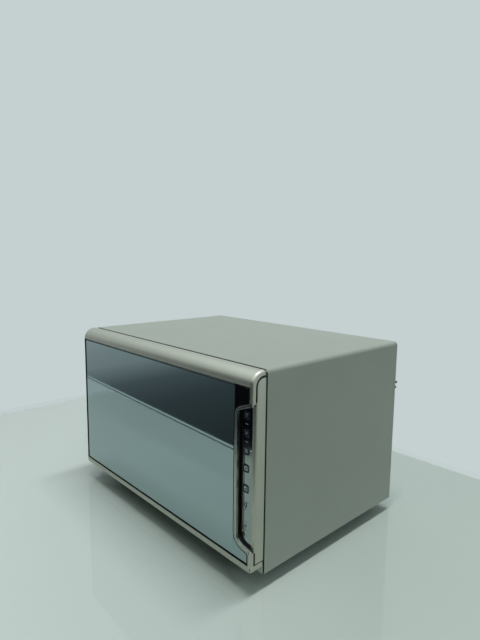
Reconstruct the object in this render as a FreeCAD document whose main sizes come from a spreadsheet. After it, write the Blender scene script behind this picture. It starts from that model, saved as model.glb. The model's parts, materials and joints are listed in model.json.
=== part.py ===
import FreeCAD, Part
import math
import os

import Sketcher
from FreeCAD import Placement, Rotation, Vector

# A countertop microwave oven with a mirrored door, a swept grip cut-out and a column of seven keys.
# Frame: origin on the counter under the middle of the box, +X right, front towards -Y, +Z up.

# Driving dimensions, in millimetres; names that end in count are plain numbers
DIMENSIONS = {
    # Case
    "case_width": 461,
    "case_height": 275,
    "case_depth": 312,
    "case_bend": 6,
    "sheet": 0.8,
    "sheet_fit": 0.2,
    "seam": 2,
    "plate": 1,
    "plate_return": 10,
    "base_wall": 12,
    "foot_height": 10,
    "foot_radius": 11,
    "foot_taper": 2,
    "foot_tread": 4,
    "foot_inset": 45,
    "spacer_length": 7,
    "spacer_width": 16,
    "spacer_rib": 3,
    "spacer_pitch": 9,
    "spacer_drop": 67,
    "spacer_inset": 14,
    "screw_head": 3.5,
    "screw_shank": 1.7,
    "screw_rise": 2,
    "screw_reach": 6,
    "screw_edge": 9,
    # Vents
    "vent_width": 3,
    "vent_length": 28,
    "vent_pitch": 8,
    "vent_corner": 1,
    "side_vent_count": 12,
    "rear_vent_count": 11,
    "base_vent_count": 9,
    "vent_margin": 40,
    # Cavity and turntable
    "cavity_left": 18.5,
    "bay_width": 132.5,
    "cavity_above": 37,
    "cavity_behind": 22.2,
    "cavity_floor": 33,
    "cavity_round": 8,
    "floor_hole": 8,
    "plate_radius": 122.5,
    "plate_glass": 4.5,
    "plate_rim": 11,
    "plate_foot": 86,
    "roller_radius": 7.5,
    "roller_width": 8,
    "roller_circle": 88,
    "roller_gap": 0.3,
    "axle_radius": 2,
    "axle_fit": 0.1,
    "axle_cap": 3.4,
    "axle_cap_width": 1.6,
    "ring_hub": 20,
    "ring_bore": 15,
    "ring_arm": 9,
    "ring_thickness": 4,
    "coupler_radius": 6,
    "coupler_lobe": 13,
    "coupler_lobe_width": 6,
    "coupler_lobe_height": 4.6,
    "motor_shaft": 3,
    "shaft_fit": 0.06,
    "motor_radius": 25,
    "motor_height": 18,
    # Door shell
    "door_depth": 25,
    "door_rear_gap": 0.8,
    "door_lift": 10,
    "door_round": 20,
    "door_low_ease": 3,
    "door_end_round": 4.5,
    "door_left_round": 2.5,
    "door_skin": 6.4,
    "door_top_flange": 6.4,
    "door_low_flange": 10,
    "door_left_wall": 3,
    "door_clearance": 0.6,
    "glass_thickness": 4,
    "gasket_width": 0.9,
    "gasket_sink": 0.4,
    "rebate_left": 2.2,
    "rebate_right": 3.8,
    "rebate_top": 19,
    "rebate_low": 10.6,
    "display_left": 29.5,
    "display_right": 7,
    "display_top": 21.5,
    "display_height": 16,
    # Grip cut-out and its trim
    "notch_reach": 31,
    "notch_top": 38.5,
    "notch_low": 36.5,
    "notch_rise": 11.3,
    "notch_fall": 5.5,
    "notch_upper_round": 15,
    "notch_lower_round": 18,
    "trim_fit": 0.25,
    "trim_width": 4.5,
    "trim_land": 2.2,
    "trim_cap": 2.1,
    "trim_proud": 0.4,
    "trim_groove_in": 2,
    "trim_groove_width": 0.8,
    "trim_groove_depth": 0.7,
    "trim_end_round": 3.6,
    # Door inside
    "choke_overlap": 9,
    "choke_sheet": 1,
    "choke_back": 4,
    "choke_gap": 1.6,
    "choke_cover_wall": 1.5,
    "choke_cover_lap": 5,
    "window_margin": 20,
    "window_round": 8,
    "window_fit": 0.3,
    "window_glass": 2,
    "screen_sheet": 0.5,
    "screen_lap": 6,
    # Hinge
    "hinge_inset": 7,
    "hinge_pin": 2.5,
    "hinge_fit": 0.08,
    "hinge_plate": 2.5,
    "hinge_eye": 5,
    "hinge_arm": 22,
    "hinge_tab": 2,
    "hinge_tab_height": 7,
    "hinge_low_gap": 1.5,
    "hinge_top_gap": 6.1,
    "hinge_low_pin": 7,
    "hinge_top_pin": 10,
    "hinge_bore_room": 0.8,
    "hinge_slot_room": 0.8,
    # Latch
    "latch_offset": 5,
    "latch_bar": 3,
    "latch_bar_depth": 9,
    "latch_bar_set": 2.6,
    "latch_low": 60,
    "latch_top": 79,
    "latch_overhang": 14,
    "latch_hook": 7,
    "latch_lip": 4,
    "latch_lip_depth": 6,
    "latch_reach": 17,
    "latch_travel": 4,
    "latch_room": 1.5,
    "latch_pin": 1.6,
    "latch_pin_fit": 0.15,
    "latch_pin_inset": 20,
    "spring_height": 14,
    "spring_strip": 0.5,
    "spring_width": 6,
    "spring_bow": 6,
    "spring_seat": 1.5,
    # Control housing and keys
    "housing_gap": 4,
    "housing_wall": 2.2,
    "housing_rim_round": 4.5,
    "scoop_reach": 58,
    "scoop_right": 25,
    "scoop_depth": 10,
    "scoop_wall": 1.5,
    "scoop_inset": 10,
    "scoop_ease": 4,
    "fascia_right": 5.5,
    "fascia_width": 18,
    "fascia_low": 40,
    "fascia_top": 46,
    "fascia_thickness": 3,
    "fascia_fit": 0.15,
    "key_size": 11,
    "fascia_round": 2.2,
    "key_fit": 0.25,
    "key_proud": 0.5,
    "key_lip": 1.2,
    "key_lip_thickness": 1,
    "key_lip_gap": 0.2,
    "key_stem": 4,
    "key_stem_gap": 1,
    "key_inset": 16.1,
    "key_first": 12,
    "key_pitch_share": 0.1238,
    "key_group_share": 0.145,
    "key_corner": 2,
    "switch_size": 6,
    "switch_height": 4,
    "board_back": 3.9,
    "board_thickness": 1.6,
    "board_inset": 10,
    "board_post": 3.5,
    "relay_width": 20,
    "relay_height": 16,
    "relay_depth": 9,
    "relay_pitch": 40,
    "lamp_radius": 1.3,
    "lamp_inset": 8.1,
    "lamp_lift": 1.8,
    # Power parts in the bay
    "guide_depth": 38,
    "guide_width": 90,
    "guide_height": 80,
    "guide_rise": 70,
    "guide_sheet": 1,
    "guide_lip": 7,
    "mica": 0.6,
    "antenna_radius": 8,
    "antenna_reach": 20,
    "magnetron_flange": 3,
    "magnetron_core": 50,
    "magnetron_width": 78,
    "magnetron_height": 74,
    "magnetron_tube": 20,
    "fin_count": 5,
    "fin_thickness": 1,
    "filter_box": 22,
    "core_width": 80,
    "core_depth": 62,
    "core_height": 66,
    "coil_bulge": 16,
    "coil_height": 44,
    "coil_inset": 10,
    "coil_ease": 7,
    "core_foot": 2,
    "transformer_inset": 22,
    "transformer_set": 65,
    "can_length": 52,
    "can_width": 33,
    "can_height": 88,
    "can_ease": 9.5,
    "can_set": 165,
    "can_inset": 40,
    "tab_width": 6.3,
    "tab_height": 8,
    "diode_radius": 4,
    "diode_length": 22,
    "duct_depth": 60,
    "duct_size": 112,
    "duct_sheet": 1.5,
    "duct_inset": 5,
    "duct_rise": 58,
    "fan_room": 2.5,
    "fan_gap": 3,
    "fan_hub": 14,
    "fan_hub_depth": 15,
    "fan_shaft": 2.5,
    "fan_blade": 2,
    "fan_blade_twist": 32,
    "fan_blade_count": 5,
    "fan_motor_radius": 22,
    "fan_motor_depth": 20,
    "fan_bar": 18,
    "fan_bar_depth": 4,
    "fan_set": 26,
    "filter_width": 90,
    "filter_height": 50,
    "filter_stand": 6,
    "filter_post": 3,
    "filter_drop": 18,
    "choke_coil": 14,
    "choke_coil_height": 12,
    "oven_lamp_radius": 7,
    "oven_lamp_length": 30,
    "oven_lamp_base": 12,
    "oven_lamp_set": 225,
    "oven_lamp_drop": 27,
    "thermostat_radius": 8,
    "thermostat_height": 9,
    "thermostat_set": 205,
    "thermostat_rise": 60,
    "gland_radius": 8,
    "gland_flange": 11,
    "gland_rise": 4,
    "gland_depth": 8,
    "gland_bore": 4,
    "gland_inset": 34,
    "gland_height": 34,
    "bracket_gap": 3,
    "bracket_sheet": 1.5,
    "bracket_depth": 40,
    "bracket_foot": 16,
    "interlock_width": 10,
    "interlock_depth": 16,
    "interlock_height": 28,
    "interlock_set": 18,
}

doc = FreeCAD.newDocument("mirror_door_oven")


class Size:
    # A length with its number and the sheet expression that gives it
    def __init__(self, value, text):
        self.value = float(value)
        self.text = text

    def __add__(self, other):
        other = sized(other)
        return Size(self.value + other.value, f"({self.text} + {other.text})")

    __radd__ = __add__

    def __sub__(self, other):
        other = sized(other)
        return Size(self.value - other.value, f"({self.text} - {other.text})")

    def __rsub__(self, other):
        return sized(other) - self

    def __mul__(self, other):
        other = sized(other)
        return Size(self.value * other.value, f"({self.text} * {other.text})")

    __rmul__ = __mul__

    def __truediv__(self, other):
        other = sized(other)
        return Size(self.value / other.value, f"({self.text} / {other.text})")

    def __neg__(self):
        return Size(-self.value, f"(0 - {self.text})")


def sized(number):
    if isinstance(number, Size):
        return number
    return Size(number, f"({float(number)})")


def root(size):
    return Size(math.sqrt(size.value), f"sqrt({size.text})")


def make_sheet():
    sheet = doc.addObject("Spreadsheet::Sheet", "Sizes")
    for row, (alias, number) in enumerate(DIMENSIONS.items(), start=1):
        sheet.set(f"A{row}", alias)
        sheet.set(f"B{row}", str(number))
        sheet.setAlias(f"B{row}", alias)
    doc.recompute()
    return {alias: Size(sheet.get(alias), f"Sizes.{alias}") for alias in DIMENSIONS}


class Named:
    # The sheet's sizes as attributes
    def __init__(self, sizes):
        self.__dict__.update(sizes)


s = Named(make_sheet())
nodes = {}


# Shared places, worked out once from the driving dimensions
half = s.case_width / 2
front = s.door_depth + s.trim_proud - (s.door_depth + s.trim_proud + s.case_depth + s.spacer_length) / 2
rear = front + s.case_depth
low = s.foot_height
top = s.foot_height + s.case_height
plate_back = front + s.plate
inner_half = half - s.sheet - s.sheet_fit
inner_top = top - s.sheet - s.sheet_fit
base_top = low + s.sheet
rear_inside = rear - s.sheet

door_front = front - s.door_depth
door_rear = front - s.door_rear_gap
door_low = low + s.door_lift
skin_back = door_front + s.door_skin
glass_back = door_front + s.glass_thickness
flange_low = door_low + s.door_low_flange
flange_top = top - s.door_top_flange
hinge_x = s.hinge_inset - half
hinge_y = door_rear - s.hinge_inset

housing_front = skin_back + s.door_clearance
housing_low = flange_low + s.door_clearance
housing_top = flange_top - s.door_clearance

cavity_x = (s.cavity_left - half, half - s.bay_width)
cavity_y = (plate_back, rear_inside - s.cavity_behind)
cavity_z = (low + s.cavity_floor, top - s.cavity_above)
turn_x = (cavity_x[0] + cavity_x[1]) / 2
turn_y = (cavity_y[0] + cavity_y[1]) / 2
bay_x = cavity_x[1] + s.sheet

choke_x = (cavity_x[0] - s.choke_overlap, cavity_x[1] + s.choke_overlap)
choke_z = (cavity_z[0] - s.choke_overlap, cavity_z[1] + s.choke_overlap)
choke_rear = front - s.choke_back
window_x = (cavity_x[0] + s.window_margin, cavity_x[1] - s.window_margin)
window_z = (cavity_z[0] + s.window_margin, cavity_z[1] - s.window_margin)

latch_x = (choke_x[1] + s.latch_offset, choke_x[1] + s.latch_offset + s.latch_bar)
latch_y = skin_back + s.latch_bar_set
hook_levels = (low + s.latch_low, top - s.latch_top)
latch_z = (hook_levels[0] - s.latch_overhang, hook_levels[1] + s.latch_hook + s.latch_overhang)
latch_pin_levels = (latch_z[0] + s.latch_pin_inset, latch_z[1] - s.latch_pin_inset)
housing_x = latch_x[1] + s.housing_gap

key_x = half - s.key_inset
fascia_x = (half - s.fascia_right - s.fascia_width, half - s.fascia_right)
fascia_z = (low + s.fascia_low, top - s.fascia_top)
fascia_back = housing_front + s.fascia_thickness
board_front = front - s.board_back - s.board_thickness
display_x = (half - s.display_left, half - s.display_right)
display_z = (top - s.display_top - s.display_height, top - s.display_top)


# Drawing helpers

def bind(item, path, size):
    item.setExpression(path, sized(size).text)


def box(name, x, y, z):
    made = doc.addObject("Part::Box", name)
    for side, axis, span in (("Length", "x", x), ("Width", "y", y), ("Height", "z", z)):
        bind(made, side, sized(span[1]) - span[0])
        bind(made, f"Placement.Base.{axis}", span[0])
    return made


ROD_TURNS = {
    "x": Rotation(Vector(0, 1, 0), 90),
    "y": Rotation(Vector(1, 0, 0), -90),
    "z": Rotation(),
}


def rod(name, axis, centre, radius, span, end_radius=None):
    made = doc.addObject("Part::Cylinder" if end_radius is None else "Part::Cone", name)
    made.Placement = Placement(Vector(), ROD_TURNS[axis])
    if end_radius is None:
        bind(made, "Radius", radius)
    else:
        bind(made, "Radius1", radius)
        bind(made, "Radius2", end_radius)
    bind(made, "Height", sized(span[1]) - span[0])
    bind(made, f"Placement.Base.{axis}", span[0])
    across = [other for other in "xyz" if other != axis]
    for other, place in zip(across, centre):
        bind(made, f"Placement.Base.{other}", place)
    return made


def prism(name, axis, centre, radius, span, sides):
    made = doc.addObject("Part::Prism", name)
    made.Placement = Placement(Vector(), ROD_TURNS[axis])
    made.Polygon = sides
    bind(made, "Circumradius", radius)
    bind(made, "Height", sized(span[1]) - span[0])
    bind(made, f"Placement.Base.{axis}", span[0])
    across = [other for other in "xyz" if other != axis]
    for other, place in zip(across, centre):
        bind(made, f"Placement.Base.{other}", place)
    return made


def fuse(name, *shapes):
    made = doc.addObject("Part::MultiFuse", name)
    made.Shapes = list(shapes)
    return made


def cut(name, base, *tools):
    made = doc.addObject("Part::Cut", name)
    made.Base = base
    made.Tool = tools[0] if len(tools) == 1 else fuse(f"{name}_tools", *tools)
    return made


def group(name, *shapes):
    made = doc.addObject("Part::Compound", name)
    made.Links = list(shapes)
    return made


def node(name, made):
    made.Label = name
    nodes[name] = made
    return made


def body(name):
    return node(name, doc.addObject("PartDesign::Body", name))


def rect(x, y, radius=None):
    corners = [(x[0], y[0]), (x[1], y[0]), (x[1], y[1]), (x[0], y[1])]
    if radius is None:
        return corners
    return [corner + (radius,) for corner in corners]


def around(centre, reach):
    return (centre - reach, centre + reach)


def eased(x, y, corner):
    # Rectangle with its four corners cut at 45 degrees
    return [
        (x[0] + corner, y[0]), (x[1] - corner, y[0]), (x[1], y[0] + corner), (x[1], y[1] - corner),
        (x[1] - corner, y[1]), (x[0] + corner, y[1]), (x[0], y[1] - corner), (x[0], y[0] + corner),
    ]


def draw_circle(sketch, centre, radius):
    x, y, radius = sized(centre[0]), sized(centre[1]), sized(radius)
    circle = Part.Circle(Vector(x.value, y.value, 0), Vector(0, 0, 1), radius.value)
    index = sketch.addGeometry(circle)
    datum(sketch, "DistanceX", (-1, 1, index, 3), x)
    datum(sketch, "DistanceY", (-1, 1, index, 3), y)
    datum(sketch, "Radius", (index,), radius)


def datum(sketch, kind, places, size):
    index = sketch.addConstraint(Sketcher.Constraint(kind, *places, size.value))
    sketch.setExpression(f"Constraints[{index}]", size.text)


def draw_loop(sketch, corners):
    # Closed outline through the corners; a third value rounds its corner
    count = len(corners)
    places = [(sized(corner[0]), sized(corner[1])) for corner in corners]
    points = [Vector(x.value, y.value, 0) for x, y in places]
    radii = [sized(corner[2]) if len(corner) > 2 else None for corner in corners]
    stops = list(points)
    starts = list(points)
    bends = {}
    for i, radius in enumerate(radii):
        if radius is None:
            continue
        arrive = (points[i] - points[i - 1]).normalize()
        leave = (points[(i + 1) % count] - points[i]).normalize()
        left_turn = arrive.x * leave.y - arrive.y * leave.x > 0
        reach = radius.value * math.tan(arrive.getAngle(leave) / 2)
        stops[i] = points[i] - arrive * reach
        starts[i] = points[i] + leave * reach
        inward = Vector(-arrive.y, arrive.x, 0) * (1 if left_turn else -1)
        bends[i] = (stops[i] + inward * radius.value, left_turn)
    first = sketch.GeometryCount
    for i in range(count):
        sketch.addGeometry(Part.LineSegment(starts[i], stops[(i + 1) % count]))
    for i in range(count):
        before = first + (i - 1) % count
        after = first + i
        if i in bends:
            corner = sketch.addGeometry(Part.Point(points[i]), True)
            place = (-1, 1, corner, 1)
        else:
            sketch.addConstraint(Sketcher.Constraint("Coincident", before, 2, after, 1))
            place = (-1, 1, after, 1)
        datum(sketch, "DistanceX", place, places[i][0])
        datum(sketch, "DistanceY", place, places[i][1])
        if i in bends:
            draw_bend(sketch, (before, corner, after), stops[i], starts[i], bends[i], radii[i])


def draw_bend(sketch, parts, stop, start, bend, radius):
    before, corner, after = parts
    centre, left_turn = bend
    ends = (stop, start) if left_turn else (start, stop)
    angles = [math.atan2(end.y - centre.y, end.x - centre.x) for end in ends]
    if angles[1] < angles[0]:
        angles[1] += 2 * math.pi
    circle = Part.Circle(centre, Vector(0, 0, 1), radius.value)
    arc = sketch.addGeometry(Part.ArcOfCircle(circle, *angles))
    near, far = (1, 2) if left_turn else (2, 1)
    sketch.addConstraint(Sketcher.Constraint("PointOnObject", corner, 1, before))
    sketch.addConstraint(Sketcher.Constraint("PointOnObject", corner, 1, after))
    sketch.addConstraint(Sketcher.Constraint("Tangent", before, 2, arc, near))
    sketch.addConstraint(Sketcher.Constraint("Tangent", arc, far, after, 1))
    datum(sketch, "Radius", (arc,), radius)


PLANES = {"x": "YZ_Plane", "y": "XZ_Plane", "z": "XY_Plane"}


def outline(owner, axis, level, loops):
    sketch = owner.newObject("Sketcher::SketchObject", f"{owner.Name}_outline")
    plane = [item for item in owner.Origin.OriginFeatures if item.Role == PLANES[axis]][0]
    sketch.AttachmentSupport = (plane, [""])
    sketch.MapMode = "FlatFace"
    bind(sketch, "AttachmentOffset.Base.z", -sized(level) if axis == "y" else level)
    for loop in loops:
        if isinstance(loop, dict):
            draw_circle(sketch, loop["centre"], loop["radius"])
        else:
            draw_loop(sketch, loop)
    return sketch


def circle(centre, radius):
    return {"centre": centre, "radius": radius}


def many_sided(centre, radius, sides):
    turns = [2 * math.pi * i / sides for i in range(sides)]
    return [(centre[0] + radius * math.cos(turn), centre[1] + radius * math.sin(turn)) for turn in turns]


def pad(owner, axis, span, *loops):
    sketch = outline(owner, axis, span[1] if axis == "y" else span[0], loops)
    made = owner.newObject("PartDesign::Pad", f"{owner.Name}_pad")
    made.Profile = sketch
    bind(made, "Length", sized(span[1]) - span[0])
    return made


def pocket(owner, axis, span, *loops):
    sketch = outline(owner, axis, span[0] if axis == "y" else span[1], loops)
    made = owner.newObject("PartDesign::Pocket", f"{owner.Name}_pocket")
    made.Profile = sketch
    bind(made, "Length", sized(span[1]) - span[0])
    return made


def repeat(owner, feature, direction, pitch, number):
    # Copies of one cut along a sketch axis
    made = owner.newObject("PartDesign::LinearPattern", f"{owner.Name}_row")
    made.Originals = [feature]
    made.Direction = (feature.Profile[0], [direction])
    bind(made, "Length", pitch * (number - 1))
    bind(made, "Occurrences", number)
    owner.Tip = made
    return made


def round_edges(owner, radius, chosen):
    doc.recompute()
    base = owner.Tip
    names = [f"Edge{i}" for i, edge in enumerate(base.Shape.Edges, start=1) if chosen(edge)]
    made = owner.newObject("PartDesign::Fillet", f"{owner.Name}_round")
    made.Base = (base, names)
    bind(made, "Radius", radius)
    return made


def revolve(owner, *loops):
    # Turned about the body's own Z axis; outlines give (radius, height)
    sketch = outline(owner, "y", 0, loops)
    made = owner.newObject("PartDesign::Revolution", f"{owner.Name}_turning")
    made.Profile = sketch
    made.ReferenceAxis = (sketch, ["V_Axis"])
    made.Angle = 360
    return made


def put(made, x, y, z):
    for axis, place in (("x", x), ("y", y), ("z", z)):
        bind(made, f"Placement.Base.{axis}", place)


NEAR = 0.01


def on_line(edge, axis_places):
    # True where every end of the edge has the wanted coordinates
    ends = [vertex.Point for vertex in edge.Vertexes]
    return all(abs(getattr(end, axis) - place.value) < NEAR for end in ends for axis, place in axis_places)


# Case

def make_outer_wrapper():
    made = body("outer_wrapper")
    inner = half - s.sheet
    corners = [
        (-half, low), (-inner, low),
        (-inner, top - s.sheet, s.case_bend - s.sheet), (inner, top - s.sheet, s.case_bend - s.sheet),
        (inner, low), (half, low), (half, top, s.case_bend), (-half, top, s.case_bend),
    ]
    pad(made, "y", (front + s.seam, rear), corners)
    first = rear - s.vent_margin - s.vent_pitch * (s.side_vent_count - 1)
    high = top - s.vent_margin
    slot = eased(around(first, s.vent_width / 2), (high - s.vent_length, high), s.vent_corner)
    vent = pocket(made, "x", (-half - s.sheet, -half + s.sheet * 2), slot)
    repeat(made, vent, "H_Axis", s.vent_pitch, s.side_vent_count)


def make_base_plate():
    made = body("base_plate")
    reach = inner_half - s.plate - s.sheet_fit
    x = (-reach, reach)
    y = (plate_back, rear_inside)
    pad(made, "z", (low, low + s.base_wall), rect(x, y))
    inside = rect((x[0] + s.sheet, x[1] - s.sheet), (y[0] + s.sheet, y[1] - s.sheet))
    pocket(made, "z", (base_top, low + s.base_wall), inside)
    first = turn_y - s.vent_pitch * (s.base_vent_count - 1) / 2
    left = bay_x + s.vent_margin
    slot = rect((left, left + s.vent_length), around(first, s.vent_width / 2))
    vent = pocket(made, "z", (low - s.sheet, base_top + s.sheet), slot)
    repeat(made, vent, "V_Axis", s.vent_pitch, s.base_vent_count)


def screw_places():
    side = inner_half - s.screw_edge
    levels = (low + s.screw_edge * 4, top - s.screw_edge * 4)
    places = [(x, z) for x in (-side, side) for z in levels]
    return places + [(sized(0), top - s.screw_edge)]


def fan_centre():
    return (inner_half - s.duct_inset - s.duct_size / 2, low + s.duct_rise + s.duct_size / 2)


def gland_centre():
    return (inner_half - s.gland_inset, low + s.gland_height)


def make_rear_panel():
    made = body("rear_panel")
    bend = s.case_bend - s.sheet - s.sheet_fit
    profile = [(-inner_half, low), (inner_half, low), (inner_half, inner_top, bend),
               (-inner_half, inner_top, bend)]
    pad(made, "y", (rear_inside, rear), profile)
    reach = s.screw_shank + s.sheet_fit
    holes = [eased(around(x, reach), around(z, reach), s.vent_corner) for x, z in screw_places()]
    holes.append(many_sided(gland_centre(), s.gland_radius + s.sheet_fit * 2, 16))
    pocket(made, "y", (rear_inside - s.sheet, rear + s.sheet), *holes)
    x_fan, z_fan = fan_centre()
    first = z_fan - s.vent_pitch * (s.rear_vent_count - 1) / 2
    for column in (-1, 1):
        centre = x_fan + column * (s.vent_length / 2 + s.vent_width)
        slot = rect(around(centre, s.vent_length / 2), around(first, s.vent_width / 2))
        vent = pocket(made, "y", (rear_inside - s.sheet, rear + s.sheet), slot)
        repeat(made, vent, "V_Axis", s.vent_pitch, s.rear_vent_count)


def make_case_screws():
    screws = []
    for x, z in screw_places():
        head = prism("screw_head", "y", (x, z), s.screw_head, (rear, rear + s.screw_rise), 10)
        shank = prism("screw_shank", "y", (x, z), s.screw_shank, (rear - s.screw_reach, rear), 6)
        screws.append(fuse("screw", head, shank))
    node("case_screws", group("case_screws", *screws))


def make_rear_spacers():
    made = []
    for side in (-1, 1):
        x = side * (inner_half - s.spacer_inset)
        z = top - s.spacer_drop - s.spacer_pitch / 2
        span = around(x, s.spacer_width / 2)
        seat = (rear, rear + s.sheet * 2)
        ribs = [box("spacer_seat", span, seat, around(z, s.spacer_pitch))]
        for step in (-1, 1):
            level = z + step * s.spacer_pitch / 2
            rib = box("spacer_rib", span, (rear, rear + s.spacer_length), around(level, s.spacer_rib / 2))
            ribs.append(rib)
        made.append(fuse("spacer", *ribs))
    node("rear_spacers", group("rear_spacers", *made))


def make_feet():
    made = []
    for x in (-half + s.foot_inset, half - s.foot_inset):
        for y in (front + s.foot_inset, rear - s.foot_inset):
            collar = prism("foot_collar", "z", (x, y), s.foot_radius, (s.foot_tread, low), 12)
            tread = prism("foot_tread", "z", (x, y), s.foot_radius - s.foot_taper, (0, s.foot_tread), 12)
            made.append(fuse("foot", collar, tread))
    node("feet", group("feet", *made))


def latch_slot(level):
    across = (latch_x[0] - s.latch_room, latch_x[1] + s.latch_room * 2)
    high = level + s.latch_hook + s.latch_travel + s.latch_room
    return rect(across, (level - s.latch_lip - s.latch_room, high))


def make_front_plate():
    made = body("front_plate")
    bend = s.case_bend - s.sheet - s.sheet_fit
    x = (-inner_half, inner_half)
    z = (low + s.sheet_fit, inner_top)
    profile = [(x[0], z[0]), (x[1], z[0]), (x[1], z[1], bend), (x[0], z[1], bend)]
    pad(made, "y", (front, plate_back + s.plate_return), profile)
    inner = [(x[0] + s.plate, z[0] - s.plate), (x[1] - s.plate, z[0] - s.plate),
             (x[1] - s.plate, z[1] - s.plate, bend - s.plate),
             (x[0] + s.plate, z[1] - s.plate, bend - s.plate)]
    pocket(made, "y", (plate_back, plate_back + s.plate_return * 2), inner)
    pocket(made, "y", (front - s.plate, plate_back + s.plate), rect(cavity_x, cavity_z, s.cavity_round))
    slots = [latch_slot(level) for level in hook_levels]
    pocket(made, "y", (front - s.plate, plate_back + s.plate), *slots)


def guide_spans():
    y = around(turn_y, s.guide_width / 2)
    z = (cavity_z[0] + s.guide_rise, cavity_z[0] + s.guide_rise + s.guide_height)
    return y, z


def make_oven_cavity():
    made = body("oven_cavity")
    x = (cavity_x[0] - s.sheet, cavity_x[1] + s.sheet)
    z = (cavity_z[0] - s.sheet, cavity_z[1] + s.sheet)
    pad(made, "y", (cavity_y[0], cavity_y[1] + s.sheet), rect(x, z, s.cavity_round + s.sheet))
    pocket(made, "y", cavity_y, rect(cavity_x, cavity_z, s.cavity_round))
    under = (cavity_z[0] - s.sheet * 2, cavity_z[0] + s.sheet)
    pocket(made, "z", under, many_sided((turn_x, turn_y), s.floor_hole, 24))
    y, z = guide_spans()
    mouth = rect((y[0] + s.guide_lip, y[1] - s.guide_lip), (z[0] + s.guide_lip, z[1] - s.guide_lip))
    pocket(made, "x", (cavity_x[1] - s.sheet, bay_x + s.sheet), mouth)


# Turntable

ring_level = cavity_z[0] + s.roller_gap + s.roller_radius
plate_level = cavity_z[0] + s.roller_gap * 2 + s.roller_radius * 2
coupler_low = cavity_z[0] + s.roller_gap * 2
ROLLER_TURNS = (90, 210, 330)


def make_turntable_motor():
    under = cavity_z[0] - s.sheet
    can = prism("motor_can", "z", (turn_x, turn_y), s.motor_radius, (under - s.motor_height, under), 24)
    shaft_top = coupler_low + s.coupler_lobe_height * 2
    shaft = rod("motor_shaft", "z", (turn_x, turn_y), s.motor_shaft, (under, shaft_top))
    ears = box("motor_ears", around(turn_x, s.motor_radius * 1.4), around(turn_y, s.motor_radius * 0.3),
               (under - s.sheet * 2, under))
    node("turntable_motor", fuse("turntable_motor", can, shaft, ears))


def make_turntable_coupler():
    made = body("turntable_coupler")
    stem_top = plate_level
    lobes = (stem_top - s.coupler_lobe_height, stem_top)
    pad(made, "z", (coupler_low, stem_top), many_sided((sized(0), sized(0)), s.coupler_radius, 24))
    lobe = rect(around(sized(0), s.coupler_lobe_width / 2), (0, s.coupler_lobe))
    first = pad(made, "z", lobes, lobe)
    turn = made.newObject("PartDesign::PolarPattern", "coupler_lobes")
    turn.Originals = [first]
    turn.Axis = (first.Profile[0], ["N_Axis"])
    turn.Angle = 360
    turn.Occurrences = len(ROLLER_TURNS)
    made.Tip = turn
    bore_top = coupler_low + s.coupler_lobe_height * 2 + s.roller_gap
    pocket(made, "z", (coupler_low - s.sheet, bore_top), circle((0, 0), s.motor_shaft + s.shaft_fit))
    put(made, turn_x, turn_y, 0)


def make_glass_plate():
    made = body("glass_plate")
    rise = s.plate_rim
    thick = s.plate_glass
    edge = s.plate_radius
    flat = s.plate_foot + s.roller_width
    corners = [(0, 0), (flat, 0), (edge, rise), (edge - thick, rise), (flat, thick), (0, thick)]
    revolve(made, corners)
    put(made, turn_x, turn_y, plate_level)


def make_roller_ring():
    made = body("roller_ring")
    span = around(sized(0), s.ring_thickness / 2)
    middle = (sized(0), sized(0))
    pad(made, "z", span, many_sided(middle, s.ring_hub, 24), many_sided(middle, s.ring_bore, 24))
    arm_end = s.roller_circle - s.roller_width / 2 - s.roller_gap
    arm_x = (s.ring_bore + s.axle_radius, arm_end)
    arm = pad(made, "z", span, rect(arm_x, around(sized(0), s.ring_arm / 2)))
    cap_start = s.roller_circle + s.roller_width / 2 + s.roller_gap
    axle = pad(made, "x", (arm_end - s.roller_gap, cap_start), many_sided(middle, s.axle_radius, 12))
    cap_side = around(sized(0), s.axle_cap)
    cap = pad(made, "x", (cap_start, cap_start + s.axle_cap_width), eased(cap_side, cap_side, s.axle_radius))
    turn = made.newObject("PartDesign::PolarPattern", "ring_arms")
    turn.Originals = [arm, axle, cap]
    turn.Axis = (arm.Profile[0], ["N_Axis"])
    turn.Angle = 360
    turn.Occurrences = len(ROLLER_TURNS)
    made.Tip = turn
    put(made, turn_x, turn_y, ring_level)
    made.Placement = Placement(made.Placement.Base, Rotation(Vector(0, 0, 1), ROLLER_TURNS[0]))


def make_rollers():
    span = around(s.roller_circle, s.roller_width / 2)
    middle = (sized(0), sized(0))
    for number, angle in enumerate(ROLLER_TURNS, start=1):
        made = body(f"roller_{number}")
        bore = s.axle_radius + s.axle_fit
        pad(made, "x", span, many_sided(middle, s.roller_radius, 32), circle((0, 0), bore))
        put(made, turn_x, turn_y, ring_level)
        made.Placement = Placement(made.Placement.Base, Rotation(Vector(0, 0, 1), angle))


# Door

def notch(offset, run_out):
    # Grip cut-out, moved inwards by offset, open past the right edge by run_out
    left = half - s.notch_reach + offset
    right = half + run_out
    climb = s.notch_rise / s.notch_reach
    fall = s.notch_fall / s.notch_reach
    high = top - s.notch_top
    foot = low + s.notch_low

    def upper(x):
        return high + climb * (x - half) - offset * root(climb * climb + 1)

    def lower(x):
        return foot - fall * (x - half) + offset * root(fall * fall + 1)

    return [
        (right, lower(right)), (right, upper(right)),
        (left, upper(left), s.notch_upper_round - offset), (left, lower(left), s.notch_lower_round - offset),
    ]


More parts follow.
